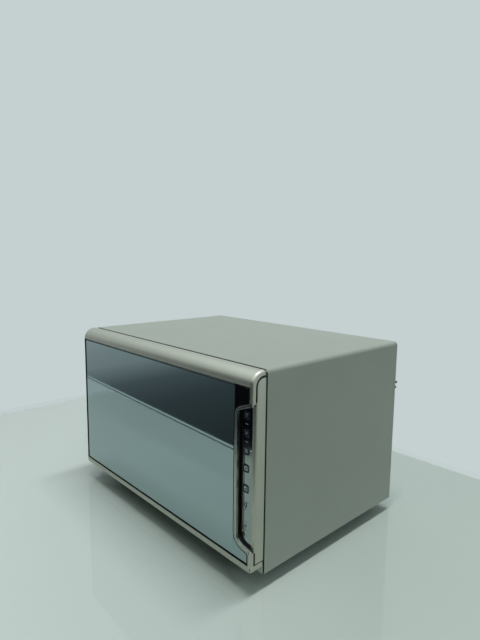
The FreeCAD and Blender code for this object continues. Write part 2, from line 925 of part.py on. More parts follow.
def glass_outline(inset):
    # The pane, or with no inset its rebate: a rectangle with the grip cut-out bitten from its right side
    x = (s.rebate_left - half + inset, half - s.rebate_right - inset)
    z = (door_low + s.rebate_low + inset, top - s.rebate_top - inset)
    left = half - s.notch_reach
    climb = s.notch_rise / s.notch_reach
    fall = s.notch_fall / s.notch_reach
    high = top - s.notch_top
    foot = low + s.notch_low
    return [
        (x[0], z[0]), (x[1], z[0]), (x[1], foot - fall * (x[1] - half)),
        (left, foot - fall * (left - half), s.notch_lower_round),
        (left, high + climb * (left - half), s.notch_upper_round),
        (x[1], high + climb * (x[1] - half)), (x[1], z[1]), (x[0], z[1]),
    ]


def make_door_frame():
    made = body("door_frame")
    ease = s.door_low_ease
    shell = [(door_front, door_low + ease), (door_front + ease, door_low), (door_rear, door_low),
             (door_rear, top), (door_front, top, s.door_round)]
    pad(made, "x", (-half, half), shell)
    round_edges(made, s.hinge_inset, lambda edge: on_line(edge, (("x", -half), ("y", door_rear))))
    for side, radius in ((half, s.door_end_round), (-half, s.door_left_round)):
        behind = hinge_y.value - s.hinge_inset.value / 2

        def outer(edge, side=side, behind=behind):
            return on_line(edge, (("x", side),)) and edge.CenterOfMass.y < behind

        round_edges(made, radius, outer)
    open_back = door_rear + s.door_skin
    hollow = [(skin_back, flange_low), (open_back, flange_low), (open_back, flange_top),
              (skin_back, flange_top, s.door_round - s.door_skin)]
    pocket(made, "x", (s.door_left_wall - half, half + s.door_skin), hollow)
    pocket(made, "y", (door_front - s.door_skin, glass_back), glass_outline(sized(0)))
    pocket(made, "y", (door_front - s.door_skin, door_front + s.trim_cap), notch(sized(0), s.door_skin))
    through = (door_front - s.door_skin, skin_back + s.door_clearance)
    pocket(made, "y", through, notch(s.trim_land, s.door_skin))
    pocket(made, "y", through, rect(window_x, window_z))
    pocket(made, "y", through, rect(display_x, display_z))
    bore = s.hinge_pin + s.hinge_fit
    low_bore = (door_low - s.sheet, door_low - s.hinge_low_gap + s.hinge_low_pin + s.hinge_bore_room)
    pocket(made, "z", low_bore, circle((hinge_x, hinge_y), bore))
    top_bore = (hinge_top_level, hinge_top_level + s.hinge_top_pin + s.hinge_bore_room)
    pocket(made, "z", top_bore, circle((hinge_x, hinge_y), bore))
    slot_z = (hinge_top_level - s.hinge_tab_height - s.hinge_slot_room, hinge_top_level + s.hinge_slot_room)
    slot = rect((-half - s.sheet, s.door_left_wall - half + s.sheet),
                (hinge_y - s.hinge_eye - s.hinge_plate, front))
    pocket(made, "z", slot_z, slot)


def make_door_glass():
    made = body("door_glass")
    pad(made, "y", (door_front, glass_back), glass_outline(s.gasket_width))


def make_glass_gasket():
    made = body("glass_gasket")
    x = (s.rebate_left - half, half - s.rebate_right)
    z = (door_low + s.rebate_low, top - s.rebate_top)
    edge = s.gasket_width
    inner = rect((x[0] + edge, x[1] - edge), (z[0] + edge, z[1] - edge))
    pad(made, "y", (door_front + s.gasket_sink, glass_back), rect(x, z), inner)
    pocket(made, "y", (door_front, glass_back + s.sheet), notch(sized(0), s.door_skin))


def make_handle_trim():
    made = body("handle_trim")
    far = s.door_skin * 2
    back = skin_back - s.trim_fit
    face = door_front - s.trim_proud
    pad(made, "y", (face, back), notch(s.trim_fit, far), notch(s.trim_width, s.door_skin))
    pocket(made, "y", (face - s.sheet, back + s.sheet), rect((half, half + far * 3), (low, top)))
    round_edges(made, s.trim_end_round, lambda edge: on_line(edge, (("x", half), ("y", face))))
    pocket(made, "y", (door_front + s.trim_cap, back + s.sheet), notch(-s.trim_fit, far * 2),
           notch(s.trim_land + s.trim_fit, far + s.trim_fit))
    groove = (face - s.sheet, face + s.trim_groove_depth)
    pocket(made, "y", groove, notch(s.trim_groove_in, far + s.sheet),
           notch(s.trim_groove_in + s.trim_groove_width, far - s.sheet))


def make_choke_frame():
    made = body("choke_frame")
    pad(made, "y", (skin_back, choke_rear), rect(choke_x, choke_z))
    sheet = s.choke_sheet
    inner = rect((choke_x[0] + sheet, choke_x[1] - sheet), (choke_z[0] + sheet, choke_z[1] - sheet))
    pocket(made, "y", (skin_back - sheet, choke_rear - sheet), inner)
    pocket(made, "y", (choke_rear - sheet * 2, choke_rear + sheet), rect(window_x, window_z))
    pin_y = latch_y + s.latch_pin * 2
    pins = [circle((pin_y, level), s.latch_pin) for level in latch_pin_levels]
    for pin in pins:
        pad(made, "x", (choke_x[1] - sheet, latch_x[1] + s.latch_room), pin)
    seat_low = latch_z[1] + s.spring_height
    seat = rect((choke_x[1] - sheet, latch_x[1] + s.latch_room), around(pin_y, s.spring_width / 2))
    pad(made, "z", (seat_low, seat_low + s.spring_seat), seat)


def make_choke_cover():
    made = body("choke_cover")
    fit = s.sheet_fit
    wall = s.choke_cover_wall + fit
    face = front - s.choke_gap
    outer_x = (choke_x[0] - wall, choke_x[1] + wall)
    outer = rect(outer_x, (choke_z[0] - wall, choke_z[1] + wall), s.window_round / 2)
    pad(made, "y", (choke_rear - s.choke_cover_lap, face), outer)
    inner = rect((choke_x[0] - fit, choke_x[1] + fit), (choke_z[0] - fit, choke_z[1] + fit))
    pocket(made, "y", (choke_rear - s.choke_cover_lap * 2, choke_rear), inner)
    pocket(made, "y", (choke_rear - s.sheet, face + s.sheet), rect(window_x, window_z, s.window_round))


def make_door_screen():
    made = body("door_screen")
    inside = choke_rear - s.choke_sheet
    x = (window_x[0] - s.screen_lap, window_x[1] + s.screen_lap)
    z = (window_z[0] - s.screen_lap, window_z[1] + s.screen_lap)
    pad(made, "y", (inside - s.screen_sheet, inside), rect(x, z))


def make_inner_window():
    made = body("inner_window")
    fit = s.window_fit
    x = (window_x[0] + fit, window_x[1] - fit)
    z = (window_z[0] + fit, window_z[1] - fit)
    inside = choke_rear - s.choke_sheet
    pad(made, "y", (inside, inside + s.choke_sheet + s.window_glass), rect(x, z, s.window_round - fit))


# Hinges

hinge_low_level = door_low - s.hinge_low_gap
hinge_top_level = flange_top - s.hinge_top_gap


def make_hinge(name, level, tab_z, pin_length):
    # Plate with its eye under the pin, and a tab on the front plate
    made = body(name)
    near = hinge_y - s.hinge_eye
    bend = s.hinge_eye * 0.9
    plate = [(hinge_x - s.hinge_eye, near, bend), (hinge_x + s.hinge_eye, near, bend),
             (hinge_x + s.hinge_arm, front - s.hinge_tab), (hinge_x + s.hinge_arm, front),
             (hinge_x - s.hinge_eye, front)]
    pad(made, "z", (level - s.hinge_plate, level), plate)
    tab = rect((hinge_x - s.hinge_eye, hinge_x + s.hinge_arm), tab_z)
    pad(made, "y", (front - s.hinge_tab, front), tab)
    pad(made, "z", (level - s.hinge_plate, level + pin_length), circle((hinge_x, hinge_y), s.hinge_pin))


def make_hinges():
    tab = (low + s.sheet_fit, hinge_low_level)
    make_hinge("lower_hinge", hinge_low_level, tab, s.hinge_low_pin)
    tab = (hinge_top_level - s.hinge_tab_height, hinge_top_level)
    make_hinge("upper_hinge", hinge_top_level, tab, s.hinge_top_pin)


# Latch

def make_door_latch():
    made = body("door_latch")
    bar_back = latch_y + s.latch_bar_depth
    tip = front + s.latch_reach
    lip_start = tip - s.latch_lip_depth
    first, second = hook_levels
    corners = [(latch_y, latch_z[0]), (bar_back, latch_z[0])]
    for level in (first, second):
        corners += [
            (bar_back, level), (lip_start, level), (lip_start, level - s.latch_lip),
            (tip, level), (tip, level + s.latch_hook), (bar_back, level + s.latch_hook),
        ]
    corners += [(bar_back, latch_z[1]), (latch_y, latch_z[1])]
    pad(made, "x", latch_x, corners)
    pin_y = latch_y + s.latch_pin * 2
    reach = s.latch_pin + s.latch_pin_fit
    slots = [rect(around(pin_y, reach), (level - reach - s.latch_travel, level + reach))
             for level in latch_pin_levels]
    pocket(made, "x", (latch_x[0] - s.latch_bar, latch_x[1] + s.latch_bar), *slots)


def make_latch_spring():
    # Bowed strip between the top of the bar and its seat on the door
    made = body("latch_spring")
    strip = s.spring_strip
    y = latch_y + s.latch_pin * 2
    z = (latch_z[1] + s.axle_fit, latch_z[1] + s.spring_height - s.axle_fit)
    middle = (z[0] + z[1]) / 2
    left = y - s.spring_bow / 2
    right = y + s.spring_bow / 2
    corners = [
        (left, z[0]), (right, z[0]), (right, z[0] + strip), (left + strip * 2, z[0] + strip, strip * 2),
        (right + strip, middle, strip * 2), (left + strip * 2, z[1] - strip, strip * 2),
        (right, z[1] - strip), (right, z[1]), (left, z[1]), (left, z[1] - strip),
        (right - strip, middle, strip), (left, z[0] + strip),
    ]
    pad(made, "x", around((latch_x[0] + latch_x[1]) / 2, s.latch_bar / 2), corners)


def make_latch_bracket():
    made = body("latch_bracket")
    left = latch_x[1] + s.bracket_gap
    z = latch_z
    foot = [(left, plate_back), (left + s.bracket_foot, plate_back),
            (left + s.bracket_foot, plate_back + s.bracket_sheet),
            (left + s.bracket_sheet, plate_back + s.bracket_sheet),
            (left + s.bracket_sheet, plate_back + s.bracket_depth), (left, plate_back + s.bracket_depth)]
    pad(made, "z", z, foot)


def make_interlock_switches():
    made = []
    left = latch_x[1] + s.bracket_gap + s.bracket_sheet
    y = (plate_back + s.interlock_set, plate_back + s.interlock_set + s.interlock_depth)
    first, second = hook_levels
    for level in (first, second, second - s.interlock_height - s.latch_hook):
        z = around(level + s.latch_hook / 2, s.interlock_height / 2)
        made.append(box("interlock", (left, left + s.interlock_width), y, z))
    node("interlock_switches", group("interlock_switches", *made))


# Control housing

def key_level(number):
    # Four keys, a gap, two keys, a gap, one key
    groups = (number >= 4) + (number >= 6)
    share = s.key_pitch_share * (number - groups) + s.key_group_share * groups
    return fascia_z[1] - s.key_first - (fascia_z[1] - fascia_z[0]) * share


KEY_COUNT = 7


def lamp_place():
    # Beside the third key
    return (half - s.lamp_inset, key_level(2) + s.lamp_lift)


def make_control_housing():
    made = body("control_housing")
    bend = s.door_round - s.door_skin - s.door_clearance
    shell = [(housing_front, housing_low), (front, housing_low), (front, housing_top),
             (housing_front, housing_top, bend)]
    pad(made, "x", (housing_x, half), shell)

    def rim(edge):
        return on_line(edge, (("x", half),)) and edge.CenterOfMass.y < front.value - NEAR \
            and edge.CenterOfMass.z > housing_low.value + NEAR

    round_edges(made, s.housing_rim_round, rim)
    wall = s.housing_wall
    hollow = [(housing_front + wall, housing_low + wall), (front + wall, housing_low + wall),
              (front + wall, housing_top - wall), (housing_front + wall, housing_top - wall, bend - wall)]
    pocket(made, "x", (housing_x + wall, half - wall), hollow)
    scoop_x = (half - s.scoop_reach, half - s.scoop_right)
    scoop_z = (low + s.notch_low + s.scoop_inset, top - s.notch_top - s.scoop_inset)
    floor = housing_front + s.scoop_depth
    skin = s.scoop_wall
    pad(made, "y", (housing_front + wall / 2, floor + skin),
        eased((scoop_x[0] - skin, scoop_x[1] + skin), (scoop_z[0] - skin, scoop_z[1] + skin), s.scoop_ease))
    pocket(made, "y", (housing_front - wall, floor), eased(scoop_x, scoop_z, s.scoop_ease))
    through = (housing_front - wall, housing_front + wall * 2)
    pocket(made, "y", through, rect(fascia_x, fascia_z, s.fascia_round), rect(display_x, display_z))
    for x, z in post_places():
        post = eased(around(x, s.board_post), around(z, s.board_post), s.board_post / 2)
        pad(made, "y", (housing_front + wall / 2, board_front), post)


def post_places():
    x = housing_x + s.housing_wall + s.board_inset
    return [(x, housing_low + s.board_inset * 2), (x, housing_top - s.board_inset * 2)]


def make_key_fascia():
    made = body("key_fascia")
    fit = s.fascia_fit
    x = (fascia_x[0] + fit, fascia_x[1] - fit)
    z = (fascia_z[0] + fit, fascia_z[1] - fit)
    pad(made, "y", (housing_front, fascia_back), rect(x, z, s.fascia_round))
    reach = s.key_size / 2 + s.key_fit
    holes = [eased(around(key_x, reach), around(key_level(i), reach), s.key_corner) for i in range(KEY_COUNT)]
    holes.append(many_sided(lamp_place(), s.lamp_radius + s.fascia_fit, 12))
    pocket(made, "y", (housing_front - s.key_proud, fascia_back + s.key_proud), *holes)


def make_keys():
    lip_front = fascia_back + s.key_lip_gap
    lip_back = lip_front + s.key_lip_thickness
    stem_end = board_front - s.switch_height - s.key_stem_gap
    for i in range(KEY_COUNT):
        made = body(f"key_{i + 1}")
        z = key_level(i)
        reach = s.key_size / 2
        cap = eased(around(key_x, reach), around(z, reach), s.key_corner)
        pad(made, "y", (housing_front - s.key_proud, lip_front), cap)
        lip = rect(around(key_x, reach + s.key_lip), around(z, reach + s.key_lip))
        pad(made, "y", (lip_front, lip_back), lip)
        stem = rect(around(key_x, s.key_stem / 2), around(z, s.key_stem / 2))
        pad(made, "y", (lip_back, stem_end), stem)


def make_key_switches():
    made = []
    reach = s.switch_size / 2
    for i in range(KEY_COUNT):
        span = (board_front - s.switch_height, board_front)
        made.append(box("switch", around(key_x, reach), span, around(key_level(i), reach)))
    node("key_switches", group("key_switches", *made))


def make_control_board():
    x = (housing_x + s.housing_wall * 2, half - s.housing_wall * 2)
    z = (housing_low + s.board_inset, housing_top - s.board_inset)
    pieces = [box("board", x, (board_front, board_front + s.board_thickness), z)]
    left = housing_x + s.housing_wall + s.board_inset * 2
    for step in (-1, 0, 1):
        level = (z[0] + z[1]) / 2 + step * s.relay_pitch
        pieces.append(box("relay", (left, left + s.relay_width), (board_front - s.relay_depth, board_front),
                          around(level, s.relay_height / 2)))
    node("control_board", fuse("control_board", *pieces))


def make_display_module():
    fit = s.fascia_fit
    x = (display_x[0] + fit, display_x[1] - fit)
    z = (display_z[0] + fit, display_z[1] - fit)
    node("display_module", box("display_module", x, (housing_front, board_front), z))


def make_status_lamp():
    span = (housing_front - s.key_lip_gap, board_front)
    node("status_lamp", prism("status_lamp", "y", lamp_place(), s.lamp_radius, span, 12))


# Power parts in the bay

def make_waveguide():
    made = body("waveguide")
    y, z = guide_spans()
    x = (bay_x, bay_x + s.guide_depth)
    pad(made, "x", x, rect(y, z))
    sheet = s.guide_sheet
    pocket(made, "x", (x[0] - sheet, x[1] - sheet),
           rect((y[0] + sheet, y[1] - sheet), (z[0] + sheet, z[1] - sheet)))
    middle = (turn_y, (z[0] + z[1]) / 2)
    pocket(made, "x", (x[1] - sheet * 2, x[1] + sheet), many_sided(middle, s.antenna_radius + sheet, 16))


def make_waveguide_cover():
    y, z = guide_spans()
    lap = s.guide_lip / 2
    node("waveguide_cover", box("waveguide_cover", (cavity_x[1] - s.mica, cavity_x[1]),
                                (y[0] + lap, y[1] - lap), (z[0] + lap, z[1] - lap)))


def make_magnetron():
    y, z = guide_spans()
    middle = (turn_y, (z[0] + z[1]) / 2)
    start = bay_x + s.guide_depth
    core = start + s.magnetron_flange
    end = core + s.magnetron_core
    wide = around(middle[0], s.magnetron_width / 2)
    tall = around(middle[1], s.magnetron_height / 2)
    pieces = [
        box("magnetron_flange", (start, core), wide, tall),
        prism("antenna", "x", middle, s.antenna_radius, (start - s.antenna_reach, start), 12),
        prism("tube", "x", middle, s.magnetron_tube, (core, end), 12),
        box("filter_box", (end, end + s.filter_box), around(middle[0], s.magnetron_width * 0.4), tall),
    ]
    pitch = s.magnetron_core / s.fin_count
    fins = around(middle[0], s.magnetron_width * 0.45)
    for i in range(int(s.fin_count.value)):
        level = core + pitch * (i + 0.5)
        pieces.append(box("fin", (level, level + s.fin_thickness), fins, tall))
    for side in (-1, 1):
        wall = middle[0] + side * (s.magnetron_width * 0.45)
        pieces.append(box("yoke", (core, end), around(wall, s.magnetron_flange / 2), tall))
    node("magnetron", fuse("magnetron", *pieces))


def make_transformer():
    left = bay_x + s.transformer_inset
    x = (left, left + s.core_width)
    y = (front + s.transformer_set, front + s.transformer_set + s.core_depth)
    foot_top = base_top + s.core_foot
    middle = foot_top + s.core_height / 2
    made = body("transformer")
    pad(made, "z", (base_top, foot_top), rect((x[0] - s.coil_inset, x[1] + s.coil_inset), y))
    pad(made, "z", (foot_top - s.core_foot / 2, foot_top + s.core_height), rect(x, y))
    inset = s.coil_inset
    pad(made, "z", around(middle, s.coil_height / 2),
        eased((x[0] + inset, x[1] - inset), (y[0] - s.coil_bulge, y[1] + s.coil_bulge), s.coil_ease))


def make_capacitor():
    made = body("capacitor")
    left = bay_x + s.can_inset
    x = (left, left + s.can_length)
    y = (front + s.can_set, front + s.can_set + s.can_width)
    pad(made, "z", (base_top, base_top + s.can_height), eased(x, y, s.can_ease))
    can_top = base_top + s.can_height
    middle = around((y[0] + y[1]) / 2, s.tab_width / 2)
    for share in (0.35, 0.65):
        tab = rect(around(x[0] + s.can_length * share, s.tab_width / 2), middle)
        pad(made, "z", (can_top - s.sheet, can_top + s.tab_height), tab)
    rest = can_top + s.diode_radius
    level = y[1] - s.diode_radius
    span = around((x[0] + x[1]) / 2, s.diode_length / 2)
    node("diode", prism("diode", "x", (level, rest), s.diode_radius, span, 12))


fan_tip = s.duct_size / 2 - s.duct_sheet - s.fan_gap - s.fan_room


def make_fan():
    x_fan, z_fan = fan_centre()
    x = around(x_fan, s.duct_size / 2)
    z = around(z_fan, s.duct_size / 2)
    start = rear_inside - s.duct_depth
    duct = body("fan_duct")
    skin = s.duct_sheet
    pad(duct, "y", (start, rear_inside), rect(x, z))
    inside = rect((x[0] + skin, x[1] - skin), (z[0] + skin, z[1] - skin))
    pocket(duct, "y", (start + skin, rear_inside + skin), inside)
    pocket(duct, "y", (start - skin, start + skin * 2), many_sided((x_fan, z_fan), fan_tip + s.fan_gap, 36))
    bar_back = rear_inside - s.fan_set
    bar_front = bar_back - s.fan_bar_depth
    can_front = bar_front - s.fan_motor_depth
    hub = (can_front - s.fan_gap - s.fan_hub_depth, can_front - s.fan_gap)
    shaft_end = hub[0] + s.fan_gap
    motor = [
        box("fan_bar", (x[0] + skin, x[1] - skin), (bar_front, bar_back), around(z_fan, s.fan_bar / 2)),
        prism("fan_can", "y", (x_fan, z_fan), s.fan_motor_radius, (can_front, bar_front), 24),
        rod("fan_shaft", "y", (x_fan, z_fan), s.fan_shaft, (shaft_end, can_front)),
    ]
    node("fan_motor", fuse("fan_motor", *motor))
    bore_span = (shaft_end - s.shaft_fit, hub[1] + s.fan_gap)
    bore = rod("fan_bore", "y", (x_fan, z_fan), s.fan_shaft + s.shaft_fit, bore_span)
    pieces = [prism("fan_hub", "y", (x_fan, z_fan), s.fan_hub, hub, 20)]
    for i in range(int(s.fan_blade_count.value)):
        pieces.append(fan_blade(i, x_fan, z_fan, (hub[0] + hub[1]) / 2))
    node("fan_impeller", cut("fan_impeller", fuse("fan_wheel", *pieces), bore))


def fan_blade(number, x_fan, z_fan, y_fan):
    # One flat blade, pitched about its own length, reaching from the hub to the tip
    made = doc.addObject("Part::Box", "blade")
    bind(made, "Length", fan_tip - s.fan_hub + s.fan_blade)
    bind(made, "Width", s.fan_blade)
    bind(made, "Height", s.fan_hub * 1.6)
    spin = Rotation(Vector(0, 1, 0), 360 * number / s.fan_blade_count.value)
    pitch = Rotation(Vector(1, 0, 0), 90 - s.fan_blade_twist.value)
    turn = spin.multiply(pitch)
    reach = Vector(s.fan_hub.value - s.fan_blade.value, -s.fan_blade.value / 2, -s.fan_hub.value * 0.8)
    centre = Vector(x_fan.value, y_fan.value, z_fan.value)
    made.Placement = Placement(centre + turn.multVec(reach), turn)
    return made


def make_filter_board():
    right = inner_half - s.duct_inset
    x = (right - s.filter_width, right)
    z = (top - s.filter_drop - s.filter_height, top - s.filter_drop)
    back = rear_inside - s.filter_stand
    pieces = [box("filter_card", x, (back - s.board_thickness, back), z)]
    for px in (x[0] + s.filter_post * 2, x[1] - s.filter_post * 2):
        for pz in (z[0] + s.filter_post * 2, z[1] - s.filter_post * 2):
            pieces.append(prism("filter_post", "y", (px, pz), s.filter_post, (back, rear_inside), 6))
    card = back - s.board_thickness
    middle = (z[0] + z[1]) / 2
    for share in (0.3, 0.7):
        coil = (x[0] + s.filter_width * share, middle)
        pieces.append(prism("choke_coil", "y", coil, s.choke_coil, (card - s.choke_coil_height, card), 16))
    node("filter_board", fuse("filter_board", *pieces))


def make_cavity_lamp():
    y = front + s.oven_lamp_set
    z = cavity_z[1] - s.oven_lamp_drop
    seat = (bay_x, bay_x + s.oven_lamp_base)
    pieces = [
        box("lamp_holder", seat, around(y, s.oven_lamp_base), around(z, s.oven_lamp_base)),
        prism("lamp_bulb", "x", (y, z), s.oven_lamp_radius, (seat[1], seat[1] + s.oven_lamp_length), 16),
    ]
    node("cavity_lamp", fuse("cavity_lamp", *pieces))


def make_thermostat():
    place = (front + s.thermostat_set, cavity_z[0] + s.thermostat_rise)
    span = (bay_x, bay_x + s.thermostat_height)
    node("thermostat", prism("thermostat", "x", place, s.thermostat_radius, span, 20))


def make_cord_gland():
    place = gland_centre()
    flange = prism("gland_flange", "y", place, s.gland_flange, (rear, rear + s.gland_rise), 16)
    neck = prism("gland_neck", "y", place, s.gland_radius, (rear - s.gland_depth, rear), 12)
    bore = rod("gland_bore", "y", place, s.gland_bore, (rear - s.gland_depth * 2, rear + s.gland_rise * 2))
    node("cord_gland", cut("cord_gland", fuse("gland_body", flange, neck), bore))


def check_and_write():
    doc.recompute()
    broken = [item.Name for item in doc.Objects if {"Invalid", "Error"} & set(item.State)]
    if broken:
        raise RuntimeError(f"features that failed: {broken}")
    for item in doc.Objects:
        if item.TypeId == "PartDesign::Pocket" and item.BaseFeature.Shape.Volume - item.Shape.Volume < NEAR:
            raise RuntimeError(f"{item.Name} cuts nothing")
    os.makedirs("parts", exist_ok=True)
    for name, made in nodes.items():
        shape = made.Shape
        if shape.isNull() or not shape.isValid() or not shape.Solids:
            raise RuntimeError(f"{name} has no valid solid")
    for name, made in nodes.items():
        made.Shape.exportStep(f"parts/{name}.step")
        print(f"{name}: {len(made.Shape.Solids)} solids, {made.Shape.Volume / 1000:.1f} cm3")


def main():
    make_outer_wrapper()
    make_base_plate()
    make_rear_panel()
    make_case_screws()
    make_rear_spacers()
    make_feet()
    make_front_plate()
    make_oven_cavity()
    make_turntable_motor()
    make_turntable_coupler()
    make_glass_plate()
    make_roller_ring()
    make_rollers()
    make_door_frame()
    make_door_glass()
    make_glass_gasket()
    make_handle_trim()
    make_choke_frame()
    make_choke_cover()
    make_door_screen()
    make_inner_window()
    make_hinges()
    make_door_latch()
    make_latch_spring()
    make_latch_bracket()
    make_interlock_switches()
    make_control_housing()
    make_key_fascia()
    make_keys()
    make_key_switches()
    make_control_board()
    make_display_module()
    make_status_lamp()
    make_waveguide()
    make_waveguide_cover()
    make_magnetron()
    make_transformer()
    make_capacitor()
    make_fan()
    make_filter_board()
    make_cavity_lamp()
    make_thermostat()
    make_cord_gland()
    check_and_write()


main()
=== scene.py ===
import json
import math

import bmesh
import bpy
from mathutils import Matrix, Vector


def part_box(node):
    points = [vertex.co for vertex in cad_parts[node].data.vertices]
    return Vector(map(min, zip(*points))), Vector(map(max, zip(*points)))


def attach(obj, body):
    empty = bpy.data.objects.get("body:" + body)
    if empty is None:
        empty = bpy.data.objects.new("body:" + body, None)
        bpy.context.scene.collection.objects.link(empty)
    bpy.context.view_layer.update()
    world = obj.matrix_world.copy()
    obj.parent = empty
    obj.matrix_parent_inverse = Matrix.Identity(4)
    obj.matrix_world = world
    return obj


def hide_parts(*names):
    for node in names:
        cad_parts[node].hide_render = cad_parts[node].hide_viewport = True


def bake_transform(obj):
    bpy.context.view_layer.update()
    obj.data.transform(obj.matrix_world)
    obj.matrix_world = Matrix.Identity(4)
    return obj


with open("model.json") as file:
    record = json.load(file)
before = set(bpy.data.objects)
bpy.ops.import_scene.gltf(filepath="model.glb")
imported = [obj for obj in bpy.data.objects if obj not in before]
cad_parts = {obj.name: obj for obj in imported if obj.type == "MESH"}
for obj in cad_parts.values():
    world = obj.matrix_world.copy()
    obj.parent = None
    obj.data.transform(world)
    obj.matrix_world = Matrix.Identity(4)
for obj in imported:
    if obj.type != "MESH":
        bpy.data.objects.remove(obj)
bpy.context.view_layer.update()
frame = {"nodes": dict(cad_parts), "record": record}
nodes = frame["nodes"]
scene = bpy.context.scene
scene.view_settings.view_transform = "Standard"
print("frame loaded:", len(nodes), "nodes")


def linear(hexColour):
    values = []
    for start in (1, 3, 5):
        value = int(hexColour[start:start + 2], 16) / 255
        values.append(value / 12.92 if value <= 0.04045 else ((value + 0.055) / 1.055) ** 2.4)
    return (*values, 1.0)


def addNode(tree, kind, settings=None, links=None):
    node = tree.nodes.new(kind)
    for key, value in (settings or {}).items():
        if isinstance(key, str) and hasattr(node, key):
            setattr(node, key, value)
        else:
            node.inputs[key].default_value = value
    for key, source in (links or {}).items():
        output = source if isinstance(source, bpy.types.NodeSocket) else source.outputs[0]
        tree.links.new(output, node.inputs[key])
    return node


def addObject(name, data):
    piece = bpy.data.objects.new(name, data)
    scene.collection.objects.link(piece)
    return piece


# Camera: where the photograph was taken from; metres in the part's frame, degrees, millimetres of lens and sensor
view = {"place": (0.63727, -0.56733, 0.42403), "turn": 47.394, "tilt": 7.538, "roll": 0.634, "lens": 27.155,
        "sensor": 36, "near": 0.01}


def makeCamera():
    turn, tilt, roll = (math.radians(view[name]) for name in ("turn", "tilt", "roll"))
    ahead = Vector((-math.sin(turn) * math.cos(tilt), math.cos(turn) * math.cos(tilt), -math.sin(tilt)))
    across = Vector((math.cos(turn), math.sin(turn), 0))
    above = across.cross(ahead)
    side = math.cos(roll) * across + math.sin(roll) * above
    head = math.cos(roll) * above - math.sin(roll) * across
    camera = addObject("camera", bpy.data.cameras.new("camera"))
    camera.data.lens = view["lens"]
    camera.data.sensor_width = view["sensor"]
    camera.data.clip_start = view["near"]
    camera.matrix_world = Matrix.Translation(view["place"]) @ Matrix((side, head, -ahead)).transposed().to_4x4()
    scene.camera = camera


makeCamera()
print("camera placed")


# Materials
def startMaterial(name, settings):
    material = bpy.data.materials.new(name)
    material.use_nodes = True
    tree = material.node_tree
    shader = tree.nodes["Principled BSDF"]
    for key, value in settings.items():
        shader.inputs[key].default_value = value
    coords = addNode(tree, "ShaderNodeTexCoord").outputs["Object"]
    return material, tree, shader, coords


def surfaceGrain(tree, shader, coords, grain):
    # fine relief, uneven gloss and a faint drift of colour; grain sizes are in millimetres
    relief = addNode(tree, "ShaderNodeTexNoise", {"Scale": 1000 / grain["size"], "Detail": 2.0}, {"Vector": coords})
    bump = addNode(tree, "ShaderNodeBump", {"Strength": grain["strength"], "Distance": grain["depth"] / 1000},
                   {"Height": relief})
    tree.links.new(bump.outputs[0], shader.inputs["Normal"])
    drift = addNode(tree, "ShaderNodeTexNoise", {"Scale": 1000 / grain["drift"], "Detail": 3.0}, {"Vector": coords})
    low, high = grain["gloss"]
    gloss = addNode(tree, "ShaderNodeMapRange", {"To Min": low, "To Max": high}, {"Value": drift})
    tree.links.new(gloss.outputs[0], shader.inputs["Roughness"])
    dark, light = grain["colours"]
    mix = addNode(tree, "ShaderNodeMix", {"data_type": "RGBA", 6: linear(dark), 7: linear(light)}, {0: drift})
    tree.links.new(mix.outputs[2], shader.inputs["Base Color"])


def wipeMarks(tree, shader, coords, marks):
    # uneven gloss left by a cloth; the marks' size is in millimetres
    wipe = addNode(tree, "ShaderNodeTexNoise", {
        "Scale": 1000 / marks["size"], "Detail": marks["detail"], "Distortion": marks["swirl"]}, {"Vector": coords})
    low, high = marks["gloss"]
    gloss = addNode(tree, "ShaderNodeMapRange", {"To Min": low, "To Max": high}, {"Value": wipe})
    tree.links.new(gloss.outputs[0], shader.inputs["Roughness"])


def mirrorGlass():
    # float glass with a half-mirror coating: a dim green-grey reflection, almost no scatter, faint wipe marks
    material, tree, shader, coords = startMaterial("half mirror glass", {
        "Metallic": 1.0, "Base Color": linear("#9bacad")})
    wipeMarks(tree, shader, coords, {"size": 35.714, "detail": 5.0, "swirl": 0.6, "gloss": (0.015, 0.05)})
    return material


# painted reflection on the key strip, darker towards its upper end where it reflects the dark room: the heights where
# it starts and ends, in metres, and the colours there
stripPaintedDark = {"span": (0.165, 0.200), "colours": ("#96a09c", "#33383b")}


def silveredAcrylic():
    # vacuum-silvered acrylic strip: mirror-like, a little softer than the pane, with a painted dark reflection
    # towards its upper end
    material, tree, shader, coords = startMaterial("silvered acrylic", {"Metallic": 1.0})
    place = addNode(tree, "ShaderNodeSeparateXYZ", {}, {0: coords})
    start, end = stripPaintedDark["span"]
    # painted reflection: the strip's colour darkens with height
    darkening = addNode(tree, "ShaderNodeMapRange", {"From Min": start, "From Max": end}, {"Value": place.outputs["Z"]})
    clear, dark = stripPaintedDark["colours"]
    tint = addNode(tree, "ShaderNodeMix", {"data_type": "RGBA", 6: linear(clear), 7: linear(dark)}, {0: darkening})
    tree.links.new(tint.outputs[2], shader.inputs["Base Color"])
    wipeMarks(tree, shader, coords, {"size": 16.667, "detail": 4.0, "swirl": 0.0, "gloss": (0.05, 0.10)})
    return material


def plainMaterial(name, settings, grain):
    material, tree, shader, coords = startMaterial(name, settings)
    surfaceGrain(tree, shader, coords, grain)
    return material


def printingInk(name, colours):
    return plainMaterial(name, {"Specular IOR Level": 0.4}, {
        "size": 0.3, "strength": 0.1, "depth": 0.02, "drift": 4, "gloss": (0.4, 0.5), "colours": colours})


